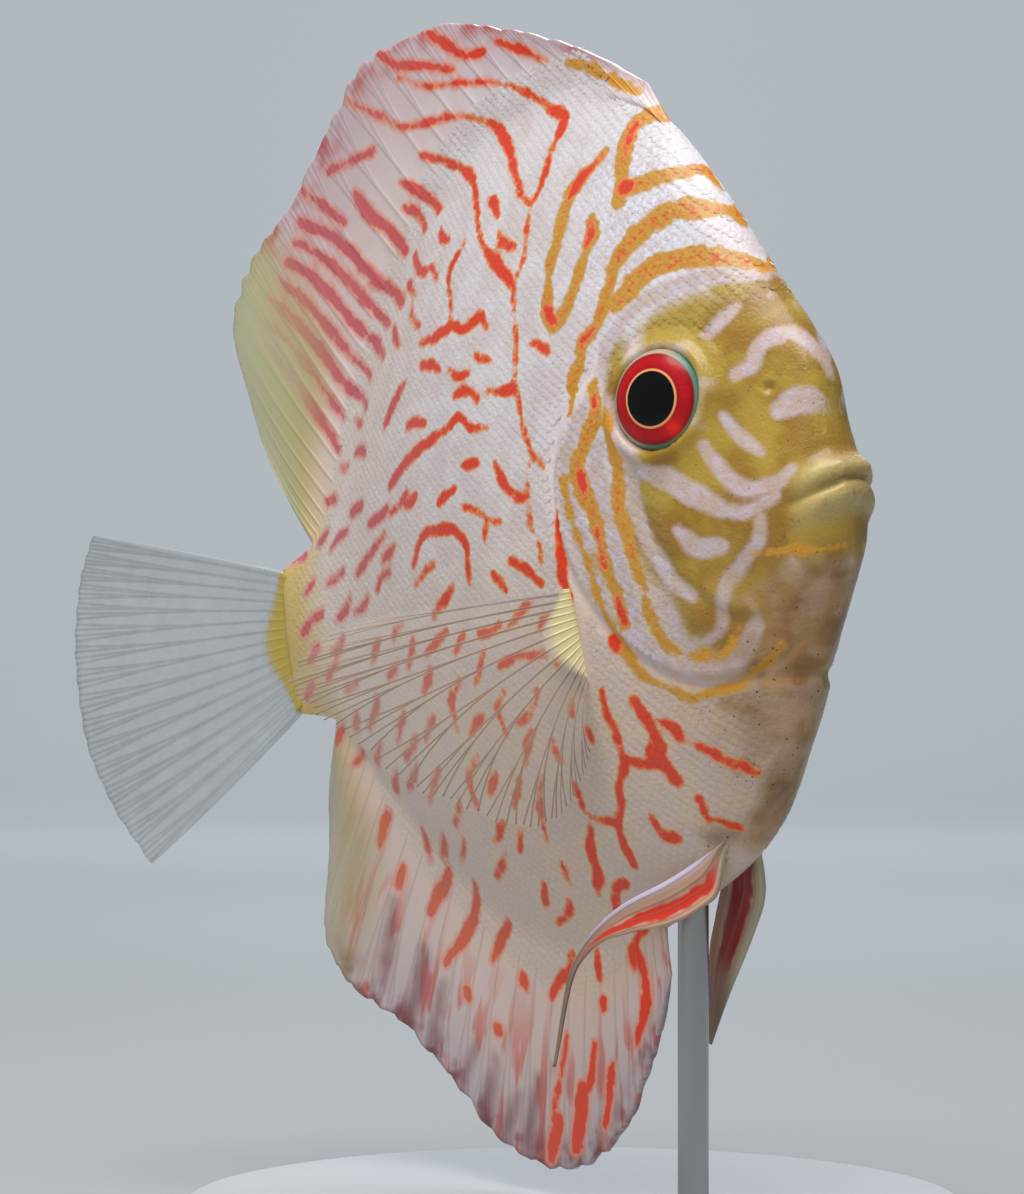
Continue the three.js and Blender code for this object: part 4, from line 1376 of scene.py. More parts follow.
class EyeballSurface(Finish):
    """A wet eyeball: scarlet iris with fine fibres and a painted glint, gilt pupil ring, black pupil, clear
    gloss.
    """

    name = "wet_eyeball"
    iris = "#D0101A"
    iris_deep = "#8E040E"
    iris_inner = "#9E0A14"
    iris_outer = "#8E0812"
    glint = "#FF2A1E"
    lid = "#5C8C7C"
    lid_behind = "#B8A488"
    gilt = "#E8A06A"
    pupil = "#040404"
    iris_mm = 6.0

    def paint(self) -> None:
        """Rings by the distance in mm from the eye's own axis."""
        radius, turn = self.read("iris_radius"), self.read("iris_turn")
        iris = self.cover(
            self.iris_deep,
            (self.fibres(turn * 14.0, radius * 0.7, detail=4.0), self.iris),
            (self.mask(radius, 3.8, 4.4), self.iris_inner),
            (self.mask(self.iris_mm - radius, 0.2, 0.9), self.iris_outer),
            # painted glint: a bright red highlight laid into the iris colour
            (self.read("iris_glint") * 0.8, self.glint),
        )
        lid = self.blend(self.mask(abs(turn + 0.6), 1.2, 1.9), self.lid_behind, self.lid)
        colour = self.cover(
            lid,
            (self.mask(radius, 5.7, 5.95), iris),
            (self.mask(radius, 3.68, 3.82), self.gilt),
            (self.mask(radius, 3.42, 3.5), self.pupil),
        )
        self.shade(Base_Color=colour, Roughness=0.3, Specular_IOR_Level=0.25)
        self.shade(Coat_Weight=0.2, Coat_Roughness=0.04, Coat_IOR=1.35)


class PaleLacquer(Finish):
    """Satin lacquer sprayed on the turned base: an even pale grey with a faint orange-peel."""

    name = "satin_pale_lacquer"

    def paint(self) -> None:
        """Faint mottling and ripple."""
        ripple = self.noise(1.2)
        tone = self.blend(ripple, "#9A9FA2", "#A3A7A9")
        relief = self.relief(ripple, 0.05, 0.4)
        self.shade(Base_Color=tone, Roughness=0.38, Normal=relief, Coat_Weight=0.2)


class SatinSteel(Finish):
    """Drawn steel rod: grey metal whose gloss is broken by lines along its length."""

    name = "drawn_steel"

    def paint(self) -> None:
        """Lines drawn along the rod."""
        stretched = self.add("ShaderNodeMapping", {"Vector": self.place(), "Scale": (1.0, 1.0, 0.02)})
        lines = self.noise(0.25, 3.0, stretched)
        rough = self.number("ShaderNodeMapRange", {0: lines, 3: 0.22, 4: 0.42})
        self.shade(Base_Color=linear("#B9BCBE"), Metallic=1.0, Roughness=rough)


class StudioPaper(Finish):
    """Matt backdrop paper, toned darker where the lights fall strongest so that it looks even."""

    name = "matt_backdrop_paper"

    def paint(self) -> None:
        """Two greys by the stored tone."""
        self.shade(Base_Color=self.blend(self.read("tone"), "#989C9E", "#818586"), Roughness=0.9)


@dataclass
class Skin:
    """One skin over head, torso, tail stalk, lips and gill covers."""

    view: SideView
    form: BodyForm
    front_stations: int = 132
    rear_stations: int = 104
    per_side: int = 168
    front_end: float = 46.2
    evenness: float = 0.6
    crowding: float = 1.8

    def stations(self) -> Array:
        """Return where the sections lie, closest together at the snout."""
        share = np.linspace(0.012, 1, self.front_stations) ** self.crowding
        front = self.form.snout + (self.front_end - self.form.snout) * share
        rear = np.linspace(self.front_end, self.form.length, self.rear_stations)[1:]
        return np.concatenate([front, rear])

    def levels(self, count: int) -> tuple[Array, Array]:
        """Return shares of the way down a side, and the level of each from 1 to -1."""
        share = np.linspace(0, 1, count)
        return share, (1 - self.evenness) * np.cos(np.pi * share) + self.evenness * (1 - 2 * share)

    def surface(self) -> tuple[Array, Array, Array]:
        """Return the skin's points over stations and ring, with their back and up.

        Returns:
            The points in metres, and the back and up of each in mm.
        """
        back = self.stations()[:, None]
        low, middle, high = self.form.limits(back)
        _, level = self.levels(self.per_side + 1)
        up = np.where(level >= 0, middle + (high - middle) * level, middle + (middle - low) * level)
        ring_up = np.concatenate([up, up[:, -2:0:-1]], axis=1)
        sign = np.concatenate([np.ones(self.per_side + 1), -np.ones(self.per_side - 1)])[None]
        back = np.broadcast_to(back, ring_up.shape)
        width = self.form.skin_width(back, ring_up)
        width[:, [0, self.per_side]] = 0
        return self.view.place(back, ring_up, sign * width), back, ring_up

    def normals(self, points: Array) -> Array:
        """Return outward normals of the grid of points."""
        along = np.gradient(points, axis=0)
        padded = np.concatenate([points[:, -1:], points, points[:, :1]], axis=1)
        across = (padded[:, 2:] - padded[:, :-2]) / 2
        normal = np.cross(across, along)
        return normal / np.maximum(np.linalg.norm(normal, axis=-1, keepdims=True), 1e-12)

    def build(self) -> Piece:
        """Build the skin with its lips, gill covers, sockets and nostrils.

        Returns:
            The piece.
        """
        points, back, up = self.surface()
        relief = self.form.fine_relief(back, up)
        points = points + self.normals(points) * relief[..., None] * MM
        rows, columns = back.shape
        flat = [*points.reshape(-1, 3), points[0].mean(axis=0), points[-1].mean(axis=0)]
        piece = make_piece("fish_skin", np.array(flat), tube_faces(rows, columns))
        u = np.repeat(np.linspace(0.01, 0.99, rows), columns)
        v = np.tile(0.01 + 0.98 * np.arange(columns) / columns, rows)
        set_bake_map(piece, np.concatenate([np.stack([u, v], -1), [[0.01, 0.5], [0.99, 0.5]]]))
        return piece

    def unwrap(self, back: Array, up: Array, left: bool) -> Array:
        """Return the bake map's place for points of the side view, on the left or right side.

        Args:
            back: distance behind the snout in mm.
            up: height above the mouth in mm.
            left: whether the points lie on the left side.

        Returns:
            The u and v of each point.
        """
        low, middle, high = self.form.limits(back)
        level = np.where(up > middle, (up - middle) / (high - middle), (up - middle) / (middle - low))
        share, table = self.levels(400)
        ring = np.interp(-np.clip(level, -1, 1), -table, share) / 2
        ring = ring if left else 1 - ring
        station = np.interp(back, self.stations(), np.linspace(0, 1, len(self.stations())))
        return np.stack([0.01 + 0.98 * station, 0.01 + 0.98 * ring], axis=-1)


@dataclass
class Scales:
    """Small overlapping scales of one side, finer on the head and towards the fins."""

    skin: Skin
    side: int
    spacing: float = 1.5
    length: float = 2.1
    width: float = 1.75
    lift: float = 0.13
    smallest: float = 0.92
    largest: float = 1.08
    jitter: float = 0.07
    rows: tuple[float, float] = (-60, 68)
    columns: tuple[float, float] = (12, 116)
    rear_end: float = 114
    edge_size: float = 0.6
    grow_over: float = 9
    sharp_deg: float = 60
    uv_size: float = 0.0028
    seed: int = 11

    def plate(self) -> Piece:
        """Make one scale: a thin rounded plate whose free rear edge stands up.

        Returns:
            The piece.
        """
        rim = [(-0.5, 0.0), (-0.25, 0.42), (0.12, 0.5), (0.42, 0.32), (0.53, 0.0)]
        rim += [(x, -y) for x, y in rim[3:0:-1]]
        lift = self.lift * MM
        points = [(x * self.length * MM, y * self.width * MM, lift * (1.4 * x + 0.2)) for x, y in rim]
        points += [(0.1 * self.length * MM, 0, 1.0 * lift), (0.0, 0, -2.0 * lift)]
        count = len(rim)
        top = [(i, (i + 1) % count, count) for i in range(count)]
        under = [((i + 1) % count, i, count + 1) for i in range(count)]
        piece = make_piece("scale_plate", np.array(points), top + under)
        store(piece, "rim", np.array([1.0] * count + [0.0, 1.0]))
        return piece

    def roots(self) -> tuple[Array, Array, Array]:
        """Return back, up and size of every scale, in staggered rows.

        Returns:
            Three numbers for each scale, its size as a share of the plate's.
        """
        random = np.random.default_rng(self.seed)
        rows = np.arange(*self.rows, self.spacing * 0.5)
        columns = np.arange(*self.columns, self.spacing)
        up, back = np.meshgrid(rows, columns, indexing="ij")
        back = back + np.where(np.arange(len(rows)) % 2, self.spacing / 2, 0)[:, None]
        back = (back + random.normal(0, self.jitter, back.shape)).ravel()
        up = (up + random.normal(0, self.jitter, up.shape)).ravel()
        form = self.skin.form
        low, _, high = form.limits(back)
        eye = Eye()
        above, below = form.fin_bases(back)
        room = np.minimum(up - low + below, high - up + above)
        outside, present = form.gill(back, up)
        from_slot = np.where(present > 0.01, np.abs(outside - 0.3), 9)
        from_eye = np.hypot(back - eye.back, up - eye.up) - eye.radius - 2.4
        from_face = (oval(back, up, (12, -2), (15, 26)) - 1) * 15
        from_armpit = (oval(back, up, (45, -13.5), (2.6, 7.4)) - 1) * 3
        from_end = self.rear_end - back
        clear = np.minimum.reduce([room - 0.6, from_slot - 1.3, from_eye, from_face, from_armpit, from_end])
        keep = clear > 0
        size = self.edge_size + (1 - self.edge_size) * ease(clear[keep], 0, self.grow_over)
        return back[keep], up[keep], size

    def carrier(self) -> tuple[Piece, Array]:
        """Return a mesh of root points with their directions, and the bake places.

        Returns:
            The mesh's object, and the u and v of each root.
        """
        back, up, size = self.roots()
        form, view, sign = self.skin.form, self.skin.view, self.side

        def at(a: Array, b: Array) -> Array:
            """Return points of the skin."""
            return view.place(a, b, sign * (form.coat_width(a, b) + form.fine_relief(a, b)))

        here = at(back, up)
        aft = at(back + 0.4, up) - here
        rise = at(back, up + 0.4) - here
        normal = np.cross(rise, aft)
        normal /= np.linalg.norm(normal, axis=1, keepdims=True)
        normal *= np.where(normal[:, 1] * sign < 0, -1, 1)[:, None]
        mesh = new_mesh("scale_roots", here)
        for name, values in (("lie_out", normal), ("lie_aft", aft)):
            attribute = mesh.attributes.new(name, "FLOAT_VECTOR", "POINT")
            attribute.data.foreach_set("vector", np.asarray(values, np.float32).ravel())
        piece = add_object("scale_roots", mesh)
        store(piece, "grown", size)
        return piece, self.skin.unwrap(back, up, sign > 0)

    def tree(self, finish: Finish) -> bpy.types.GeometryNodeTree:
        """Build the node tree that lays a plate on every root.

        Args:
            finish: the finish that the scales get.

        Returns:
            The tree.
        """
        tree = bpy.data.node_groups.new("lay_scales", "GeometryNodeTree")
        kinds = {"Geometry": "Geometry", "Plate": "Object"}
        kinds |= {"Smallest": "Float", "Largest": "Float", "Seed": "Int"}
        for name, kind in kinds.items():
            tree.interface.new_socket(name, in_out="INPUT", socket_type=f"NodeSocket{kind}")
        tree.interface.new_socket("Geometry", in_out="OUTPUT", socket_type="NodeSocketGeometry")

        def add(kind: str, inputs: dict[Any, Any] | None = None, **settings: Any) -> bpy.types.Node:
            """Add a node with its settings and links."""
            return add_node(tree, kind, inputs, **settings)

        def stored(name: str, kind: str) -> bpy.types.Node:
            """Add a reader of what the roots carry."""
            return add("GeometryNodeInputNamedAttribute", {"Name": name}, data_type=kind)

        given = add("NodeGroupInput")
        out, aft = stored("lie_out", "FLOAT_VECTOR"), stored("lie_aft", "FLOAT_VECTOR")
        stand = add("FunctionNodeAlignRotationToVector", {"Vector": out}, axis="Z")
        turned = {"Rotation": stand, "Vector": aft}
        lie = add("FunctionNodeAlignRotationToVector", turned, axis="X", pivot_axis="Z")
        spread = {2: given.outputs["Smallest"], 3: given.outputs["Largest"], "Seed": given.outputs["Seed"]}
        chance = add("FunctionNodeRandomValue", spread, data_type="FLOAT")
        grown = {0: chance.outputs[1], 1: stored("grown", "FLOAT")}
        plate = add("GeometryNodeObjectInfo", {"Object": given.outputs["Plate"]})
        laying = {
            "Points": given.outputs["Geometry"],
            "Instance": plate.outputs["Geometry"],
            "Rotation": lie,
            "Scale": add("ShaderNodeMath", grown, operation="MULTIPLY"),
        }
        real = add("GeometryNodeRealizeInstances", {"Geometry": add("GeometryNodeInstanceOnPoints", laying)})
        dressed = add("GeometryNodeSetMaterial", {"Geometry": real, "Material": finish.material})
        add("NodeGroupOutput", {"Geometry": dressed})
        return tree

    def build(self, name: str, finish: Finish) -> Piece:
        """Build all scales of the side as one plain mesh.

        Args:
            name: the piece's name.
            finish: its finish.

        Returns:
            The piece.
        """
        carrier, places = self.carrier()
        plate = self.plate()
        tree = self.tree(finish)
        modifier = carrier.modifiers.new("scales", "NODES")
        modifier.node_group = tree
        values = {"Plate": plate, "Smallest": self.smallest, "Largest": self.largest, "Seed": self.seed}
        for item in tree.interface.items_tree:
            if item.in_out == "INPUT" and item.name in values:
                modifier[item.identifier] = values[item.name]
        ready = carrier.evaluated_get(bpy.context.evaluated_depsgraph_get())
        mesh = bpy.data.meshes.new_from_object(ready)
        piece = add_object(name, mesh)
        mesh.shade_smooth()
        mesh.set_sharp_from_angle(angle=math.radians(self.sharp_deg))
        spot = vertex_places(plate)[:, :2] / (self.length * MM) * self.uv_size
        for layer in list(mesh.uv_layers):
            mesh.uv_layers.remove(layer)
        set_bake_map(piece, (places[:, None] + spot[None]).reshape(-1, 2))
        for helper in (carrier, plate):
            bpy.data.objects.remove(helper)
        return piece


RAY_PHASES = np.array([0, 0.2, 0.34, 0.43, 0.5, 0.57, 0.66, 0.8])


def ray_shares(rays: int) -> tuple[Array, Array]:
    """Return shares across a fin, crowded on each ray so that its ridge is narrow.

    Args:
        rays: the number of rays.

    Returns:
        The shares, and how far each is from its ray, from 0 on it to 1 between two.
    """
    u = np.append((np.arange(rays)[:, None] + RAY_PHASES).ravel() / rays, 1.0)[:, None]
    return u, np.abs((u * rays) % 1 - 0.5) * 2


def on_both_faces(values: Array, shape: Sequence[int]) -> Array:
    """Return a grid's values for the points of a sheet's two faces."""
    return np.tile(np.broadcast_to(values, shape[:2]).ravel(), 2)


@dataclass
class Sheet:
    """A thin fin drawn as rows of points along its rays, with ridges on both faces."""

    name: str
    centre: Array
    normal: Array
    ray_u: Array
    ray_t: Array
    rays: int
    root_half: float = 0.75
    edge_half: float = 0.12
    ridge: float = 0.14
    buried: Array | None = None
    blend: float = 0.6
    inset: float = 0.7

    def __post_init__(self) -> None:
        """Spread directions and shares over the whole grid."""
        shape = self.centre.shape
        self.normal = np.broadcast_to(self.normal, shape)
        self.ray_u = np.broadcast_to(self.ray_u, shape[:2])
        self.ray_t = np.broadcast_to(self.ray_t, shape[:2])

    def gaps(self) -> Array:
        """Return the distance between neighbouring rays at every point, in mm."""
        step = np.linalg.norm(np.gradient(self.centre, axis=0), axis=-1)
        return step / np.gradient(self.ray_u, axis=0) / self.rays / MM

    def merged(self, half: Array) -> Array:
        """Return the half thickness that runs smoothly out of the body's own half width.

        Args:
            half: the sheet's own half thickness in mm.

        Returns:
            The half thickness in mm.
        """
        ends = ease(self.ray_u, 0, 0.04) * ease(self.ray_u, 1, 0.96)
        half = half * (0.25 + 0.75 * ends)
        soft = self.buried + self.blend * np.logaddexp(0, (half - self.buried) / self.blend)
        highest = np.maximum(half, self.buried)
        rows = np.linspace(0, 1, half.shape[1])[None]
        return highest + (soft - highest) * ends - self.inset * ease(rows, 0.2, -0.1)

    def build(self) -> Piece:
        """Build the closed sheet.

        Returns:
            The piece.
        """
        t = np.clip(self.ray_t, 0, 1)
        phase = np.abs((self.ray_u * self.rays) % 1 - 0.5)
        ridge = self.ridge * bump(phase, 0.1) * (1 - t) ** 0.6 * ease(t, -0.02, 0.1)
        half = self.root_half + (self.edge_half - self.root_half) * t**0.5 + ridge
        half = (half if self.buried is None else self.merged(half)) * MM
        faces_up = self.centre + self.normal * half[..., None]
        faces_down = self.centre - self.normal * half[..., None]
        wide, long = self.ray_t.shape
        index = np.arange(wide * long).reshape(wide, long)
        a, b, c, d = index[:-1, :-1], index[1:, :-1], index[1:, 1:], index[:-1, 1:]
        top = np.stack([a, b, c, d], -1).reshape(-1, 4)
        under = top[:, ::-1] + wide * long
        edge = np.concatenate([index[:, 0], index[-1, 1:], index[-2::-1, -1], index[0, -2:0:-1]])
        after = np.roll(edge, -1)
        wall = np.stack([after, edge, edge + wide * long, after + wide * long], -1)
        points = np.concatenate([faces_up.reshape(-1, 3), faces_down.reshape(-1, 3)])
        piece = make_piece(self.name, points, [*top.tolist(), *under.tolist(), *wall.tolist()])
        for name, values in (("ray_u", self.ray_u), ("ray_t", t), ("ray_gap", self.gaps())):
            store(piece, name, on_both_faces(values, t.shape))
        u, v = self.ray_u.ravel(), 0.02 + 0.96 * t.ravel()
        set_bake_map(piece, np.concatenate([np.stack([start + 0.48 * u, v], -1) for start in (0.01, 0.51)]))
        return piece


@dataclass
class MedianFin:
    """A dorsal or anal fin: rays from the body's edge out to a rounded outline."""

    view: SideView
    form: BodyForm
    name: str
    rows: Points
    root_line: Curve
    rays: int
    lobe_start: float
    along: int = 56
    sink: float = 5.0
    notch: float = 0.45
    wave: float = 0.5
    bow: float = 0.03

    def build(self) -> Piece:
        """Build the fin with its ray numbers and regions.

        Returns:
            The piece.
        """
        u, between = ray_shares(self.rays)
        root_back, tip_back, tip_up = (curve(u) for curve in column_curves(self.rows))
        root_up = self.root_line(root_back)
        length = np.hypot(tip_back - root_back, tip_up - root_up)
        fray = 0.5 * np.sin(u * 57) * np.sin(u * 23 + 1) + 0.2 * np.sin(u * 131)
        tip = 1 - (self.notch * between**2 + np.abs(fray)) / np.maximum(length, 5)
        start = -self.sink / length
        t = start + (tip - start) * np.linspace(0, 1, self.along)[None]
        bow = self.bow * np.sin(np.pi * np.clip(t, 0, 1)) * ease(u, 0.05, 0.5) * np.sign(tip_up)
        back = root_back + (tip_back - root_back) * t + bow * (tip_up - root_up)
        up = root_up + (tip_up - root_up) * t - bow * (tip_back - root_back)
        out = self.wave * np.clip(t, 0, 1) ** 1.5 * np.sin(u * 21 + 2 * t)
        centre = self.view.place(back, up, out)
        buried = self.form.skin_width(back, up)
        piece = Sheet(self.name, centre, LEFTWARDS, u, t, self.rays, buried=buried).build()
        share, full = on_both_faces(u, t.shape), on_both_faces(length, t.shape)
        reach = on_both_faces(np.clip(t, 0, 1) * length, t.shape)
        store(piece, "edge", ease(full - reach, 6.5, 0.5) * ease(share, 0.0, 0.12))
        lobe = ease(share, self.lobe_start - 0.06, self.lobe_start + 0.08)
        store(piece, "lobe", lobe * ease(reach / full, 0.08, 0.5))
        return piece


@dataclass
class CaudalFin:
    """The tail fin: a fan behind the stalk."""

    view: SideView
    tips: Points = ((151, 21), (154.4, 14), (155.6, 4), (155.4, -8), (153, -19), (147.5, -29))
    root_back: float = 116.6
    root_top: float = 8.4
    root_bottom: float = -10.6
    rays: int = 16
    along: int = 44
    notch: float = 0.006
    wave: float = 0.5

    def build(self) -> Piece:
        """Build the fan.

        Returns:
            The piece.
        """
        u, between = ray_shares(self.rays)
        tip_back, tip_up = (curve(u) for curve in column_curves(self.tips))
        root_up = self.root_top + (self.root_bottom - self.root_top) * u
        t = np.linspace(0, 1, self.along)[None] * (1 - self.notch * between)
        back = self.root_back + (tip_back - self.root_back) * t
        up = root_up + (tip_up - root_up) * t
        centre = self.view.place(back, up, self.wave * t * np.sin(u * 9))
        return Sheet("tail_fin", centre, LEFTWARDS, u, t, self.rays, root_half=1.0, ridge=0.05).build()


@dataclass
class PectoralFin:
    """A clear fan on a fleshy root behind the gill cover."""

    view: SideView
    form: BodyForm
    side: int
    name: str
    rows: Points = (
        (28, 1), (36, 5), (38.4, 8), (36.4, 12), (32.4, 20), (29.6, 33), (26.4, 43),
        (24.4, 57), (21, 67), (15.6, 73), (9, 78),
    )
    back: float = 45
    top: float = -7.6
    bottom: float = -19.6
    sweep_deg: float = 48
    cup: float = 2.4
    sink: float = 1.2
    notch: float = 0.03
    rays: int = 14
    along: int = 44

    def build(self) -> Piece:
        """Build the fan.

        Returns:
            The piece.
        """
        u, between = ray_shares(self.rays)
        length, turn = (curve(u) for curve in column_curves(self.rows))
        t = np.linspace(0, 1, self.along)[None]
        reach = length * t * (1 - self.notch * between)
        droop = np.radians(turn) * (0.86 + 0.2 * t)
        sweep = math.radians(self.sweep_deg)
        out_cup = self.cup * np.sin(np.pi * t * 0.8)
        root_up = self.top + (self.bottom - self.top) * u
        root_out = self.form.half_width(np.full(u.shape, self.back), root_up) - self.sink
        away = reach * np.cos(droop)
        back = self.back + away * math.cos(sweep) - out_cup * math.sin(sweep)
        out = root_out + away * math.sin(sweep) + out_cup * math.cos(sweep)
        up = root_up - reach * np.sin(droop)
        centre = self.view.place(back, up, self.side * out)
        facing = self.view.direction(-math.sin(sweep), 0, self.side * math.cos(sweep))
        normal = facing / np.linalg.norm(facing)
        sheet = Sheet(self.name, centre, normal, u, t, self.rays, root_half=1.1, edge_half=0.08, ridge=0.12)
        return sheet.build()


@dataclass
class PelvicFin:
    """A pointed blade behind a stout lead ray under the chest."""

    view: SideView
    side: int
    name: str
    lead: Points
    widths: Points
    spread: tuple[float, float]
    root: tuple[float, float, float] = (33.5, -45, 3.6)
    fold: float = 0.5
    rays: int = 4
    along: int = 70

    def build(self) -> Piece:
        """Build the blade.

        Returns:
            The piece.
        """
        curves = column_curves(self.lead)
        t = np.linspace(0, 1, self.along)
        width = smooth_curve(self.widths)(t) * (0.15 + 0.85 * ease(t, 0, 0.16))
        back = self.root[0] + curves[0](t)
        up = self.root[1] + curves[1](t)
        out = self.side * (self.root[2] + curves[2](t))
        lead = self.view.place(back, up, out)
        tangent = np.gradient(lead, axis=0)
        tangent /= np.linalg.norm(tangent, axis=1, keepdims=True)
        ahead, rise = self.spread
        across = self.view.direction(-ahead, rise, 0)
        behind = across - (tangent @ across)[:, None] * tangent
        behind /= np.linalg.norm(behind, axis=1, keepdims=True)
        facing = np.cross(tangent, behind)
        u, _ = ray_shares(self.rays)
        fold = self.fold * np.sin(u * 7 + t * 3) * (1 - t)
        centre = lead + behind * (u * width)[..., None] * MM + facing * (fold * MM)[..., None]
        return Sheet(self.name, centre, facing, u, t, self.rays, root_half=0.9, edge_half=0.1).build()


@dataclass
class Eyeball:
    """One eyeball: a lens-shaped globe set in its socket."""

    view: SideView
    form: BodyForm
    side: int
    name: str
    eye: Eye = Eye()
    rings: int = 40
    spokes: int = 72
    sink: float = 0.2
    tilt_deg: float = 20
    squash: float = 0.98
    round_from: float = 3.6
    round_at: float = 5.6
    back_radius: float = 6.4
    glint: tuple[float, float] = (2.4, -4.3)
    glint_width: float = 1.1

    def build(self) -> Piece:
        """Build the globe with its rings numbered from the pupil outwards.

        Returns:
            The piece.
        """
        eye = self.eye
        angle = np.linspace(-np.pi / 2, np.pi / 2, self.rings + 1)[1:-1]
        spoke = np.linspace(0, 2 * np.pi, self.spokes, endpoint=False)
        radius = np.outer(np.cos(angle), np.ones(self.spokes)) * eye.radius
        depth = np.where(angle < 0, eye.depth, eye.bulge) * np.sin(angle)
        depth = np.outer(depth, np.ones(self.spokes))
        east, north = radius * np.cos(spoke), radius * np.sin(spoke)
        east = np.append(east.ravel(), [0, 0])
        north = np.append(north.ravel(), [0, 0])
        deep = np.append(depth.ravel(), [-eye.depth, eye.bulge])
        turn = -math.radians(eye.turn_deg)
        ahead = east * math.cos(turn) - deep * math.sin(turn)
        outward = east * math.sin(turn) + deep * math.cos(turn)
        seat = float(self.form.half_width(np.array(eye.back), np.array(eye.up))) - self.sink
        points = self.view.place(eye.back - ahead, eye.up + north, self.side * (seat + outward))
        piece = make_piece(self.name, points, tube_faces(len(angle), self.spokes))
        tilt = math.radians(self.tilt_deg)
        oval_east = east * math.cos(tilt) + north * math.sin(tilt)
        oval_north = (north * math.cos(tilt) - east * math.sin(tilt)) * self.squash
        rim = np.hypot(east, north)
        share = ease(rim, self.round_from, self.round_at)
        measured = np.hypot(oval_east, oval_north) * (1 - share) + rim * share
        store(piece, "iris_radius", np.where(deep < 0, self.back_radius, measured))
        store(piece, "iris_turn", np.arctan2(north, east))
        # the painted glint's spot on the iris, low and to the front
        glint = bump(np.hypot(east - self.glint[0], north - self.glint[1]), self.glint_width)
        store(piece, "iris_glint", glint * (deep > 0))
        set_bake_map(piece, np.stack([0.5 + east / 14, 0.25 + north / 28 + np.where(deep < 0, 0.5, 0)], -1))
        return piece


@dataclass
class Stand:
    """The display stand: a turned round base and one drawn rod."""

    radius: float = 52
    height: float = 8
    edge: float = 1
    spokes: int = 128
    rod_radius: float = 2
    rod_edge: float = 0.2
    rod_spokes: int = 48
    sharp_deg: float = 30

    def turned(self, name: str, profile: Points, spokes: int, centre: tuple[float, float]) -> Piece:
        """Turn a profile about an upright axis.

        Args:
            name: the piece's name.
            profile: pairs of radius and height in mm.
            spokes: the points round the axis.
            centre: where the axis stands.

        Returns:
            The piece.
        """
        angle = np.linspace(0, 2 * np.pi, spokes, endpoint=False)
        ring = [
            np.stack([centre[0] + r * np.cos(angle), centre[1] + r * np.sin(angle), np.full(spokes, z)], -1)
            for r, z in profile
        ]
        piece = make_piece(name, np.concatenate(ring) * MM, tube_faces(len(profile), spokes, tips=False))
        piece.data.shade_smooth()
        piece.data.set_sharp_from_angle(angle=math.radians(self.sharp_deg))
        return piece

    def build_base(self) -> Piece:
        """Build the base with an eased edge."""
        arc = np.linspace(0, np.pi / 2, 6)
        flat, edge = self.radius - self.edge, self.edge
        low = [(flat + edge * math.sin(a), edge - edge * math.cos(a)) for a in arc]
        high = [(flat + edge * math.cos(a), self.height - edge + edge * math.sin(a)) for a in arc]
        return self.turned("stand_disc", [*low, *high], self.spokes, (0, 0))

    def build_rod(self) -> Piece:
        """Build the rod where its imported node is.

        Returns:
            The piece.
        """
        low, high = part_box("stand_rod")
        centre = ((low[0] + high[0]) / 2 / MM, (low[1] + high[1]) / 2 / MM)
        bottom, top = low[2] / MM, high[2] / MM
        r, cut = self.rod_radius, self.rod_edge
        profile = [(r - cut, bottom), (r, bottom + cut), (r, top - cut), (r - cut, top)]
        return self.turned("stand_bar", profile, self.rod_spokes, centre)


@dataclass(frozen=True)
class Lamp:
    """One soft square light that looks at a goal."""

    name: str
    place: Sequence[float]
    goal: Sequence[float]
    size: float
    watts: float
    colour: str
    mirrored: bool = True

    def build(self) -> None:
        """Add the light, and say whether gloss mirrors it."""
        data = bpy.data.lights.new(self.name, "AREA")
        data.size = self.size
        data.energy = self.watts
        data.color = linear(self.colour)[:3]
        lamp = bpy.data.objects.new(self.name, data)
        lamp.location = self.place
        lamp.visible_glossy = self.mirrored
        lamp.rotation_euler = (Vector(self.goal) - lamp.location).to_track_quat("-Z", "Y").to_euler()
        bpy.context.scene.collection.objects.link(lamp)


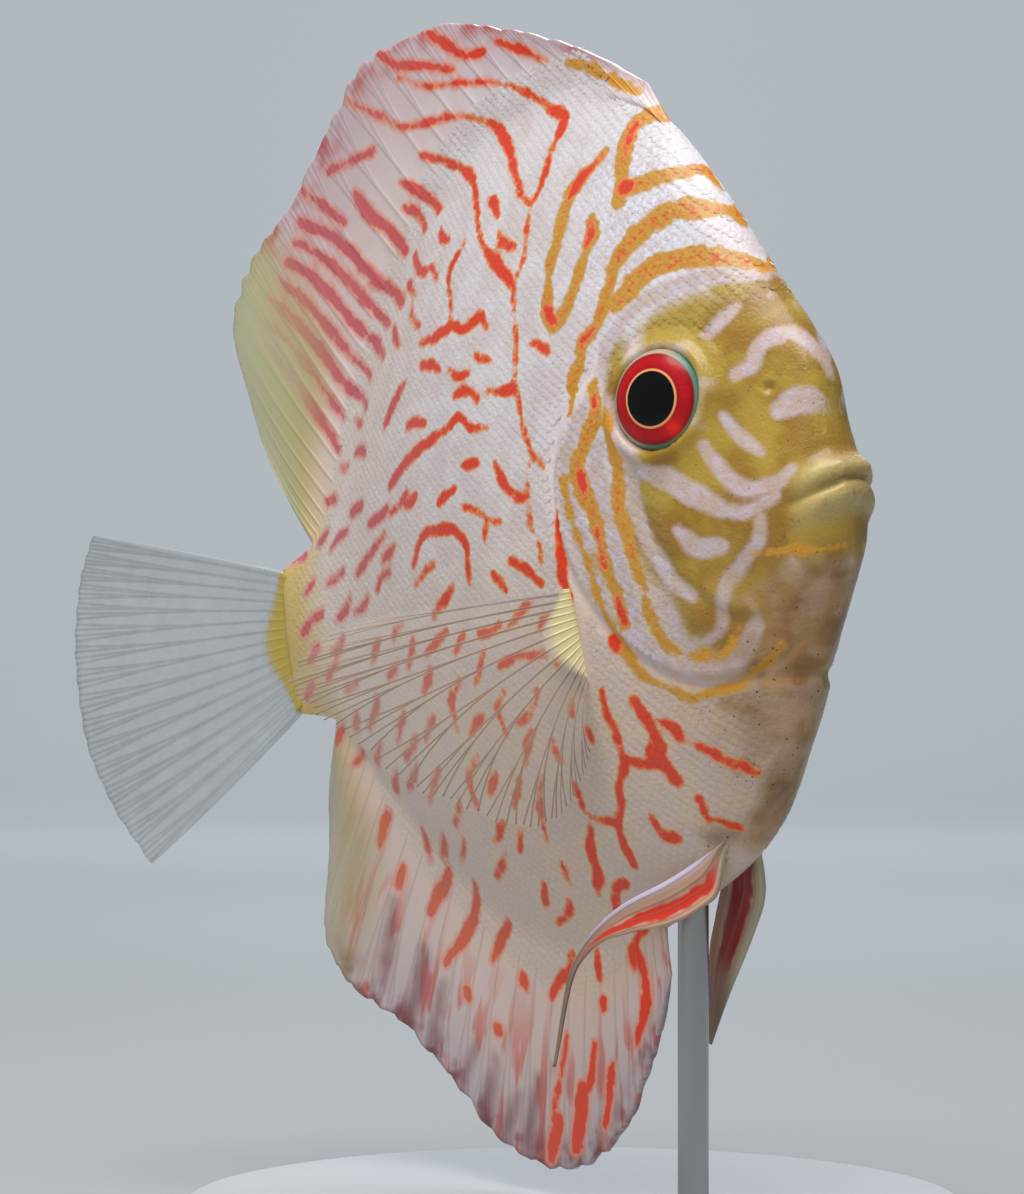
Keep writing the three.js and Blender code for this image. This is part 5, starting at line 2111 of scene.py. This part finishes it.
@dataclass
class Studio:
    """A pale floor that sweeps up into a wall, and soft lights."""

    camera: PhotoCamera
    depth: float = 1.05
    height: float = 1.4
    radius: float = 0.6
    half: float = 2.2
    front: float = 3.0
    sky: str = "#D5DCE0"
    sky_strength: float = 0.36

    def build(self) -> None:
        """Build the sweep and the lights."""
        self.sweep()
        _, _, backward = self.camera.axes()
        above, wall = -backward * 0.9 + (0, 0, 1.3), -backward * 1.6 + (0, 0, 0.3)
        fish = (0.0, 0.0, 0.09)
        for lamp in (
            Lamp("key", (0.15, -0.32, 1.0), fish, 0.6, 9.5, "#FFFAF4"),
            Lamp("fill", (0.35, -0.9, 0.3), fish, 0.7, 3.1, "#F8F9FF", mirrored=False),
            Lamp("rim", (-0.5, 0.5, 0.6), fish, 0.5, 4.0, "#F4F7FF"),
            Lamp("wash", above, wall, 1.0, 21, "#F4F8FF", mirrored=False),
        ):
            lamp.build()
        bpy.context.scene.view_settings.view_transform = "Standard"
        world = bpy.data.worlds.new("studio")
        world.use_nodes = True
        sky = world.node_tree.nodes["Background"].inputs
        sky["Color"].default_value = linear(self.sky)
        sky["Strength"].default_value = self.sky_strength
        bpy.context.scene.world = world

    def sweep(self) -> None:
        """Build the floor and wall as one curved sheet behind the fish."""
        _, _, backward = self.camera.axes()
        away = -backward
        aside = np.array([-away[1], away[0], 0])
        bend = self.radius
        arc = np.linspace(0, np.pi / 2, 48)
        path = [(-self.front, 0.0), *[(d, 0.0) for d in np.linspace(-0.1, self.depth, 24)[:-1]]]
        path += [(self.depth + bend * math.sin(a), bend - bend * math.cos(a)) for a in arc]
        path.append((self.depth + bend, self.height + bend))
        sides = (-self.half, self.half)
        points = [away * d + aside * s + np.array([0, 0, h]) for d, h in path for s in sides]
        faces = [(2 * i, 2 * i + 1, 2 * i + 3, 2 * i + 2) for i in range(len(path) - 1)]
        mesh = new_mesh("studio_floor", points, faces)
        mesh.shade_smooth()
        floor = add_object("studio_floor", mesh)
        behind = np.repeat([d for d, _ in path], 2)
        store(floor, "tone", ease(behind, 1.04, 0.68) * (0.3 + 0.7 * ease(behind, -0.05, 0.45)))
        mesh.materials.append(StudioPaper().material)


DORSAL_ROWS: Points = (
    (29, 32.5, 57.6), (37, 45.5, 66.4), (48, 59.5, 73), (60, 74, 77.6), (72, 86.5, 77),
    (83, 98.5, 69.6), (93, 109.5, 60.6), (101, 117.5, 54), (106, 122, 44),
    (109.4, 120, 31), (111.6, 115, 18.5),
)
ANAL_ROWS: Points = (
    (49, 49.6, -58), (53, 54.4, -68), (59, 62.5, -77), (67, 74, -81), (76, 85, -77),
    (85, 96, -66.4), (93, 106, -57.4), (100, 115, -50), (105, 117.6, -42),
    (108.6, 115.4, -31), (111, 113, -20.5),
)
PELVIC_LEADS: dict[str, Points] = {
    "left": ((0, 2.5, -0.6), (2, -4, 1.2), (6.5, -9.5, 2.2), (12, -15.5, 2.8), (17, -22, 3)),
    "right": ((-1, 2.5, -0.8), (6, -1, 2.6), (14, -3.8, 5.6), (20.5, -9.5, 8.4), (25, -22.5, 10.4)),
}
PELVIC_WIDTHS: dict[str, Points] = {
    "left": ((0, 5), (0.3, 7), (0.6, 6), (0.85, 3), (1, 0.8)),
    "right": ((0, 5), (0.25, 5.4), (0.5, 3.6), (0.68, 1.3), (0.82, 0.6), (1, 0.4)),
}
PELVIC_SPREAD: dict[str, tuple[float, float]] = {"left": (-1, 0.1), "right": (0.25, -1)}
SIDES = {"left": 1, "right": -1}


def finish_piece(piece: Piece, finish: Finish, slot: str, *nodes: str) -> None:
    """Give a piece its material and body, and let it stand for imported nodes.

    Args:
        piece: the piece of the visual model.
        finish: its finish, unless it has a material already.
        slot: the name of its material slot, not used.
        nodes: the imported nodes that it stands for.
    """
    if not piece.data.materials:
        piece.data.materials.append(finish.material)
    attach(piece, "root")
    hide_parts(*nodes)
    LOG.info("%s: %d faces for %s", piece.name, len(piece.data.polygons), ", ".join(nodes))


def main() -> None:
    """Build the fish, its stand and the studio in order."""
    logging.basicConfig(level=logging.INFO, format="%(message)s")
    view = SideView()
    form = BodyForm()
    camera = PhotoCamera(view)
    camera.build()
    marks = MarkMap(camera, form)
    skin_finish = LivingSkin()
    skin = Skin(view, form)
    piece = skin.build()
    marks.dress(piece, view)
    flesh = ["head", "torso", "tail_stalk", "upper_lip", "lower_lip", "gill_cover_left", "gill_cover_right"]
    finish_piece(piece, skin_finish, "flank_skin", *flesh)
    for name, side in SIDES.items():
        scales = Scales(skin, side).build(f"fish_scales_{name}", skin_finish)
        marks.dress(scales, view)
        finish_piece(scales, skin_finish, "flank_skin", "torso")

    dorsal = MedianFin(view, form, "dorsal_fin_web", DORSAL_ROWS, form.curves["top_line"], 30, 0.66).build()
    marks.dress(dorsal, view)
    finish_piece(dorsal, FinSkin(), "fin_membrane", "dorsal_fin")
    anal = MedianFin(view, form, "anal_fin_web", ANAL_ROWS, form.curves["bottom_line"], 28, 0.7).build()
    marks.dress(anal, view)
    finish_piece(anal, AnalFinSkin(), "fin_membrane", "anal_fin")
    finish_piece(CaudalFin(view).build(), TailFinSkin(), "clear_fin", "caudal_fin")

    clear, eye_finish = ClearFinSkin(), EyeballSurface()
    pelvic_finishes = {"left": LeftPelvicFinSkin(), "right": PelvicFinSkin()}
    for name, side in SIDES.items():
        fan = PectoralFin(view, form, side, f"pectoral_fan_{name}").build()
        finish_piece(fan, clear, "clear_fin", f"pectoral_fin_{name}")
        blade = PelvicFin(
            view, side, f"pelvic_blade_{name}", PELVIC_LEADS[name], PELVIC_WIDTHS[name], PELVIC_SPREAD[name]
        ).build()
        finish_piece(blade, pelvic_finishes[name], "fin_membrane", f"pelvic_fin_{name}")
        ball = Eyeball(view, form, side, f"eyeball_{name}").build()
        finish_piece(ball, eye_finish, "eye", f"eye_{name}")

    stand = Stand()
    finish_piece(stand.build_base(), PaleLacquer(), "stand_base", "stand_base")
    finish_piece(stand.build_rod(), SatinSteel(), "stand_rod", "stand_rod")
    Studio(camera).build()


if __name__ == "__main__":
    main()
